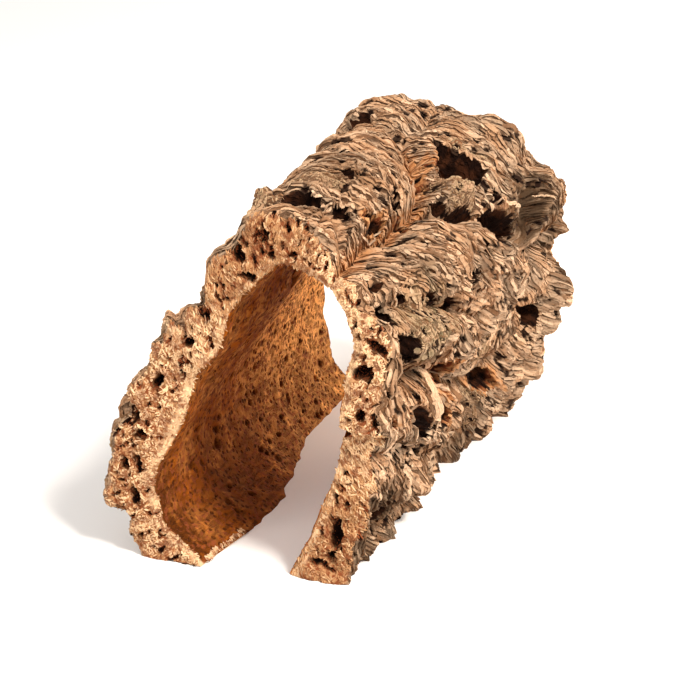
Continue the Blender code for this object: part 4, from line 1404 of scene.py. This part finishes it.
def crust_colour(finish, where, lift):
    """Weathered crust, grey in patches, with painted light and shade: pale on the lips of the lamellae and dark
    brown painted shade in the gaps.
    """
    stripes = grain_lines(finish, where).between(0.34, 0.66)
    patches = finish.speckle(20.0, 4.0).between(0.42, 0.60)
    tone = finish.kept("tone")
    old = finish.blend(patches * 0.8, CRUST_TAN, CRUST_GREY)
    pale = finish.blend((stripes * 0.6 + 0.25) * tone.between(0.25, 0.85), old, CRUST_PALE)
    flecks = finish.speckle(1.3, 3.0).between(0.56, 0.66) * 0.55
    stained = finish.blend((1 - tone).between(0.70, 0.95) * 0.7, pale, CRUST_BROWN)
    stained = finish.blend(flecks, stained, CRUST_BROWN)
    # Darker patches, most of them painted shade in the hollows on the right.
    stained = finish.blend(finish.kept("dark_and_shade") * 0.92, stained, CRUST_DARK_AND_SHADE)
    lichen = finish.blend(finish.kept("lichen") * finish.speckle(6.0).between(0.35, 0.6) * 0.8, stained, LICHEN)
    # The dark brown of the gaps is painted shade.
    gap = finish.blend(finish.speckle(8.0, 3.0).between(0.42, 0.60) * 0.8, GAP_SHADE, CRUST_BROWN)
    return finish.blend(1 - lift, lichen, gap)


def lamella_finish():
    """The finish of the lamellae."""
    finish = Finish("weathered cork lamellae")
    where = finish.node("ShaderNodeUVMap", {"uv_map": "grain"}, {})
    # Painted light and shade: the lamellae darken towards their gaps and under their lips, with a cloudy border.
    lift = finish.kept("lift").between(0.22, 0.72) * (finish.speckle(2.5, 3.0).between(0.28, 0.42) * 0.6 + 0.4)
    crust = crust_colour(finish, where, lift)
    fresh = finish.kept("fresh").between(0.15, 0.75) * finish.speckle(5.0).between(0.25, 0.6)
    colour = finish.blend(fresh * 0.85 * (lift * 0.8 + 0.2), crust, FRESH_ORANGE)
    # Painted shade: lamellae over a pore are nearly black.
    colour = finish.blend(finish.kept("pore").between(0.08, 0.42) * 0.95, colour, HOLE_SHADE)
    fibres = finish.bump(grain_lines(finish, where), 0.45)
    return finish.dress(colour, 0.92, fibres)


# %% The finish of the body


def outer_crust(finish, hole, lines, where):
    """The body's crust, orange where it is fresh, and red and then nearly black with painted shade in the holes
    and pores.
    """
    crust = crust_colour(finish, where, finish.kept("lift") * (lines * 1.5 + 0.25))
    fresh = finish.kept("fresh").between(0.12, 0.6)
    # Painted shade: fresh orange turns red towards a hole, its inside is nearly black with red clouds, and the
    # pores are nearly black.
    reds = finish.speckle(3.0, 4.0).between(0.38, 0.66) + hole.between(0.0, 0.3) * 0.8
    orange = finish.blend(reds, FRESH_ORANGE, FRESH_RED)
    crust = finish.blend(fresh, crust, orange)
    clouded = finish.speckle(5.0, 4.0).between(0.40, 0.62) * (fresh * 0.45 + 0.55)
    deep = finish.blend(clouded, HOLE_SHADE, CAVITY_RED)
    crust = finish.blend(hole.between(fresh * 0.07 + 0.004, fresh * 0.30 + 0.05), crust, deep)
    return finish.blend(finish.kept("pore").between(0.04, 0.35), crust, HOLE_SHADE)


def torn_end(finish, through, hole):
    """Torn cork between the grains: red brown, pale along the inner edge and nearly black with painted shade
    in the pits.
    """
    strokes = finish.speckle(1.4, 4.0).between(0.42, 0.62)
    torn = finish.blend(strokes, TORN_RED, TORN_TAN)
    pale_edge = 1 - through.between(0.10, 0.24)
    torn = finish.blend(pale_edge * 0.8, torn, TORN_CREAM)
    return finish.blend(hole.between(0.15, 0.7), torn, HOLE_SHADE)


def inner_face(finish):
    """(colour, fibres, pits) of the inner face: orange at the back with painted light, and dark with painted
    shade low down and near the front end.
    """
    around, along = finish.kept("around"), finish.kept("along")
    cloud = finish.speckle(14.0, 4.0).between(0.40, 0.60)
    # Painted light: orange towards the back, less of it near the top.
    sunlit = along.between(0.30, 0.85) * (1 - around.between(0.34, 0.44) * 0.6)
    inner = finish.blend(cloud * 0.28 + sunlit * 0.92, INNER_BROWN, INNER_ORANGE)
    # Painted shade low down and near the front end.
    low = (1 - around.between(0.07, 0.24)) * finish.speckle(9.0, 3.0).between(0.28, 0.50)
    front_shade = (1 - along.between(0.01, 0.10)) * finish.speckle(6.0, 3.0).between(0.30, 0.52)
    inner = finish.blend(low * 0.62 + front_shade * 0.55, inner, INNER_DARK)
    fibres = finish.speckle(1.6, 4.0, (1.0, 0.22, 0.6)).between(0.46, 0.62)
    inner = finish.blend(fibres * 0.5, inner, INNER_DARK)
    mottle = finish.speckle(2.6, 3.0).between(0.50, 0.62)
    inner = finish.blend(mottle * 0.8, inner, FRESH_RED)
    small_pits = 1 - finish.cells(2.9).between(0.20, 0.37)
    pits = small_pits.maths("MAXIMUM", finish.kept("pit"), small_pits * 0.9)
    return finish.blend(pits.between(0.1, 0.7) * 0.92, inner, INNER_DARK), fibres, pits


def body_finish():
    """The finish of the body: crust outside, torn cork at the ends and pitted cork inside."""
    finish = Finish("cork")
    where = finish.node("ShaderNodeUVMap", {"uv_map": "grain"}, {})
    through, hole = finish.kept("through"), finish.kept("hole")
    outside = through.between(0.90, 0.99)
    inside = 1 - through.between(0.01, 0.06)
    lines = finish.speckle(1.0, 3.0, (0.10, 1.0, 1.0), where, 0.5).between(0.42, 0.58)
    crust = outer_crust(finish, hole, lines, where)
    inner, fibres, pits = inner_face(finish)
    colour = finish.blend(outside, torn_end(finish, through, hole), crust)
    colour = finish.blend(inside, colour, inner)
    striped = finish.bump(lines * outside - fibres * inside * 0.7, 0.8)
    grained = finish.bump(finish.speckle(0.9, 4.0), 0.5, striped)
    pitted = finish.bump(1 - pits * inside, 0.6, grained)
    return finish.dress(colour, 0.93, pitted)


# %% The finish of the grains


def grain_finish(name, pale, middle, dark):
    """A finish for small grains, in three tones."""
    finish = Finish(name)
    tone, hole = finish.kept("tone"), finish.kept("hole")
    colour = finish.blend(tone.between(0.30, 0.95), pale, middle)
    colour = finish.blend(finish.speckle(3.5, 4.0).between(0.51, 0.62) * 0.80, colour, dark)
    colour = finish.blend(finish.speckle(12.0, 3.0).between(0.50, 0.62) * 0.45, colour, dark)
    # Painted shade: grains in a pit or hole turn dark red.
    colour = finish.blend(hole.between(0.1, 0.5), colour, FRESH_RED)
    return finish.dress(colour, 0.92, finish.bump(finish.speckle(0.7, 3.0), 0.3))


# %% Numbers for the finishes


def smooth_step(low, high, value):
    """0 below low, 1 above high, with a soft start and end."""
    t = np.clip((value - low) / (high - low), 0, 1)
    return t * t * (3 - 2 * t)


# A spot: (around, along, half width around, half width along).
LICHEN_SPOT = (0.742, 0.16, 18.0, 26.0)
FRESH_SPOT = (0.606, 0.632, 5.5, 16.0)
# A patch of darker crust: the same four, and how strong it is. The strongest, in the dark hollow on the
# right and low on the right foot, are painted shade.
DARK_AND_SHADE_SPOTS = (
    (0.555, 0.26, 20, 26, 0.55), (0.727, 0.79, 20, 26, 2.3), (0.718, 0.62, 12, 12, 0.9),
    (0.497, 0.74, 14, 16, 1.0), (0.930, 0.45, 22, 30, 0.5), (0.945, 0.11, 19, 26, 1.7),
    (0.762, 0.06, 16, 9, 0.9), (0.693, 0.204, 5, 12, 0.8), (0.535, 0.07, 18, 10, 0.8),
    (0.675, 0.46, 10, 12, 0.7), (0.735, 0.25, 8, 14, 0.8), (0.80, 0.86, 12, 14, 0.6),
    (0.20, 0.20, 24, 24, 0.7), (0.30, 0.75, 26, 24, 0.7), (0.10, 0.55, 20, 22, 0.7),
    (0.40, 0.45, 20, 20, 0.6), (0.972, 0.70, 12, 22, 1.0), (0.816, 0.97, 9, 9, 0.9),
    (0.712, 0.60, 9, 14, 1.2), (0.97, 0.03, 10, 8, 1.2), (0.79, 0.93, 13, 13, 0.9),
)


def lichen_at(flat):
    """How green the crust is: most on the large lump near the front."""
    return np.clip(1.25 - from_spot(flat, *LICHEN_SPOT), 0, 1)


def dark_and_shade_at(flat):
    """How dark the crust is made, in patches with cloudy edges; in the hollows on the right this is painted
    shade.
    """
    cloud = 0.45 * rough_flat(flat, 5.0, 71)
    patches = [0.8 * strength * (1.15 + cloud - from_spot(flat, *spot)) for *spot, strength in DARK_AND_SHADE_SPOTS]
    return np.clip(np.max(patches, axis=0), 0, 1)


def fresh_at(flat):
    """How much of the cork is fresh and orange: most along the long furrow on the top."""
    away = distance_to_line(flat + wander_of(flat), ORANGE_FURROW[2])
    furrow = np.clip(1.15 - away / 6.8, 0, 1) * (1 - smooth_step(0.62, 0.78, flat[:, 1] / LENGTH))
    return np.maximum(furrow, np.clip(1.5 * (1 - from_spot(flat, *FRESH_SPOT)), 0, 1))


def note_finish_numbers(mesh):
    """Keep at each vertex how green, how dark and how fresh the cork is."""
    flat = flat_map(values_of(mesh, "around"), values_of(mesh, "along"))
    set_values(mesh, "lichen", lichen_at(flat))
    set_values(mesh, "dark_and_shade", dark_and_shade_at(flat))
    set_values(mesh, "fresh", np.maximum(values_of(mesh, "fresh"), fresh_at(flat)))


for obj in [body, *lamellae]:
    note_finish_numbers(obj.data)

body_flat = flat_map(values_of(body.data, "around"), values_of(body.data, "along"))
body_plate = nearest_plate(body_flat, wander_of(body_flat))
with_grain, _, way = plate_place(body_flat, body_plate, LAMELLA_WAVE)
set_grain_map(body.data, np.stack([with_grain, way], axis=1))
# The body shows between the lamellae partly in painted gap shade, and paler where the crust is worn to grains.
set_values(body.data, "lift", np.maximum(0.50, 0.85 * grainy_at(body_flat)))
set_values(body.data, "tone", np.full(len(body_flat), 0.5))

# %% Finishing the pieces
finish_piece(body, body_finish())
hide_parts("cork_branch")
crust = lamella_finish()
for obj in [*lamellae, strips]:
    finish_piece(obj, crust)
torn = grain_finish("torn cork grains", TORN_CREAM, TORN_TAN, TORN_RED)
for obj in (front_grains, back_grains, foot_grains):
    finish_piece(obj, torn)
finish_piece(worn_grains, grain_finish("worn crust grains", WORN_PALE, WORN_TAN, CRUST_BROWN))

# %% [markdown]
# ## Floor, light and camera
#
# The photo shows the branch on plain white, from the front right and a little above. Its light is warm and
# comes mostly from the right, with a weak glow on the inner face. A few square soft boxes and a pale floor
# are enough for that.

# %% The floor
FLOOR_SIZE = 6.0
floor_mesh = bmesh.new()
bmesh.ops.create_grid(floor_mesh, x_segments=1, y_segments=1, size=FLOOR_SIZE)
floor = add_object("pale_floor", floor_mesh)
pale = Finish("pale floor")
floor.data.materials.append(pale.dress(FLOOR_WHITE, 0.8, pale.bump(pale.speckle(40.0), 0.02)))
print("the floor is", 2 * FLOOR_SIZE, "m wide")

# %% The lights


def looking(place, direction):
    """The placing of a lamp or camera that looks in that direction."""
    return Matrix.Translation(place) @ direction.to_track_quat("-Z", "Y").to_matrix().to_4x4()


def soft_light(name, place, aim, size, power, colour):
    """A square soft box that shines from a place towards a point."""
    light = bpy.data.lights.new(name, "AREA")
    light.shape = "SQUARE"
    light.size = size
    light.energy = power
    light.color = colour
    lamp = bpy.data.objects.new(name, light)
    bpy.context.scene.collection.objects.link(lamp)
    lamp.matrix_world = looking(place, Vector(aim) - Vector(place))


soft_light("key", (0.95, -0.55, 1.25), (0, 0, 0.07), 0.28, 38.0, (1.0, 0.94, 0.87))
soft_light("fill", (-0.5, -1.2, 0.8), (0, 0, 0.07), 0.8, 13.0, (1.0, 0.94, 0.88))
soft_light("back", (0.5, 1.3, 0.7), (0, 0, 0.07), 0.6, 8.0, (1.0, 0.96, 0.92))
soft_light("inner", (0.22, 0.45, 0.10), (-0.02, 0.05, 0.05), 0.15, 1.4, (1.0, 0.78, 0.54))
soft_light("far floor", (-0.6, 3.4, 1.6), (-0.9, 3.0, 0.0), 2.0, 45.0, (1.0, 0.98, 0.96))

WORLD_STRENGTH = 0.55
world = bpy.data.worlds.new("soft studio")
bpy.context.scene.world = world
world.use_nodes = True
world.node_tree.nodes["Background"].inputs["Color"].default_value = (1.0, 0.98, 0.96, 1.0)
world.node_tree.nodes["Background"].inputs["Strength"].default_value = WORLD_STRENGTH
bpy.context.scene.view_settings.view_transform = "Standard"

# %% The camera
CAMERA_TURN = math.radians(20.6)
CAMERA_RISE = math.radians(19.0)
CAMERA_PLACE = (np.array((291.7, -683.1, 314.4)) + TO_ORIGIN) * TO_METRES
CAMERA_LENS = 94.0

camera = bpy.data.objects.new("camera", bpy.data.cameras.new("camera"))
bpy.context.scene.collection.objects.link(camera)
camera.data.lens = CAMERA_LENS
looks = Vector((
    -math.sin(CAMERA_TURN) * math.cos(CAMERA_RISE),
    math.cos(CAMERA_TURN) * math.cos(CAMERA_RISE),
    -math.sin(CAMERA_RISE),
))
camera.matrix_world = looking(CAMERA_PLACE, looks)
bpy.context.scene.camera = camera
print("the camera stands at", CAMERA_PLACE.round(3), "m with a lens of", CAMERA_LENS, "mm")
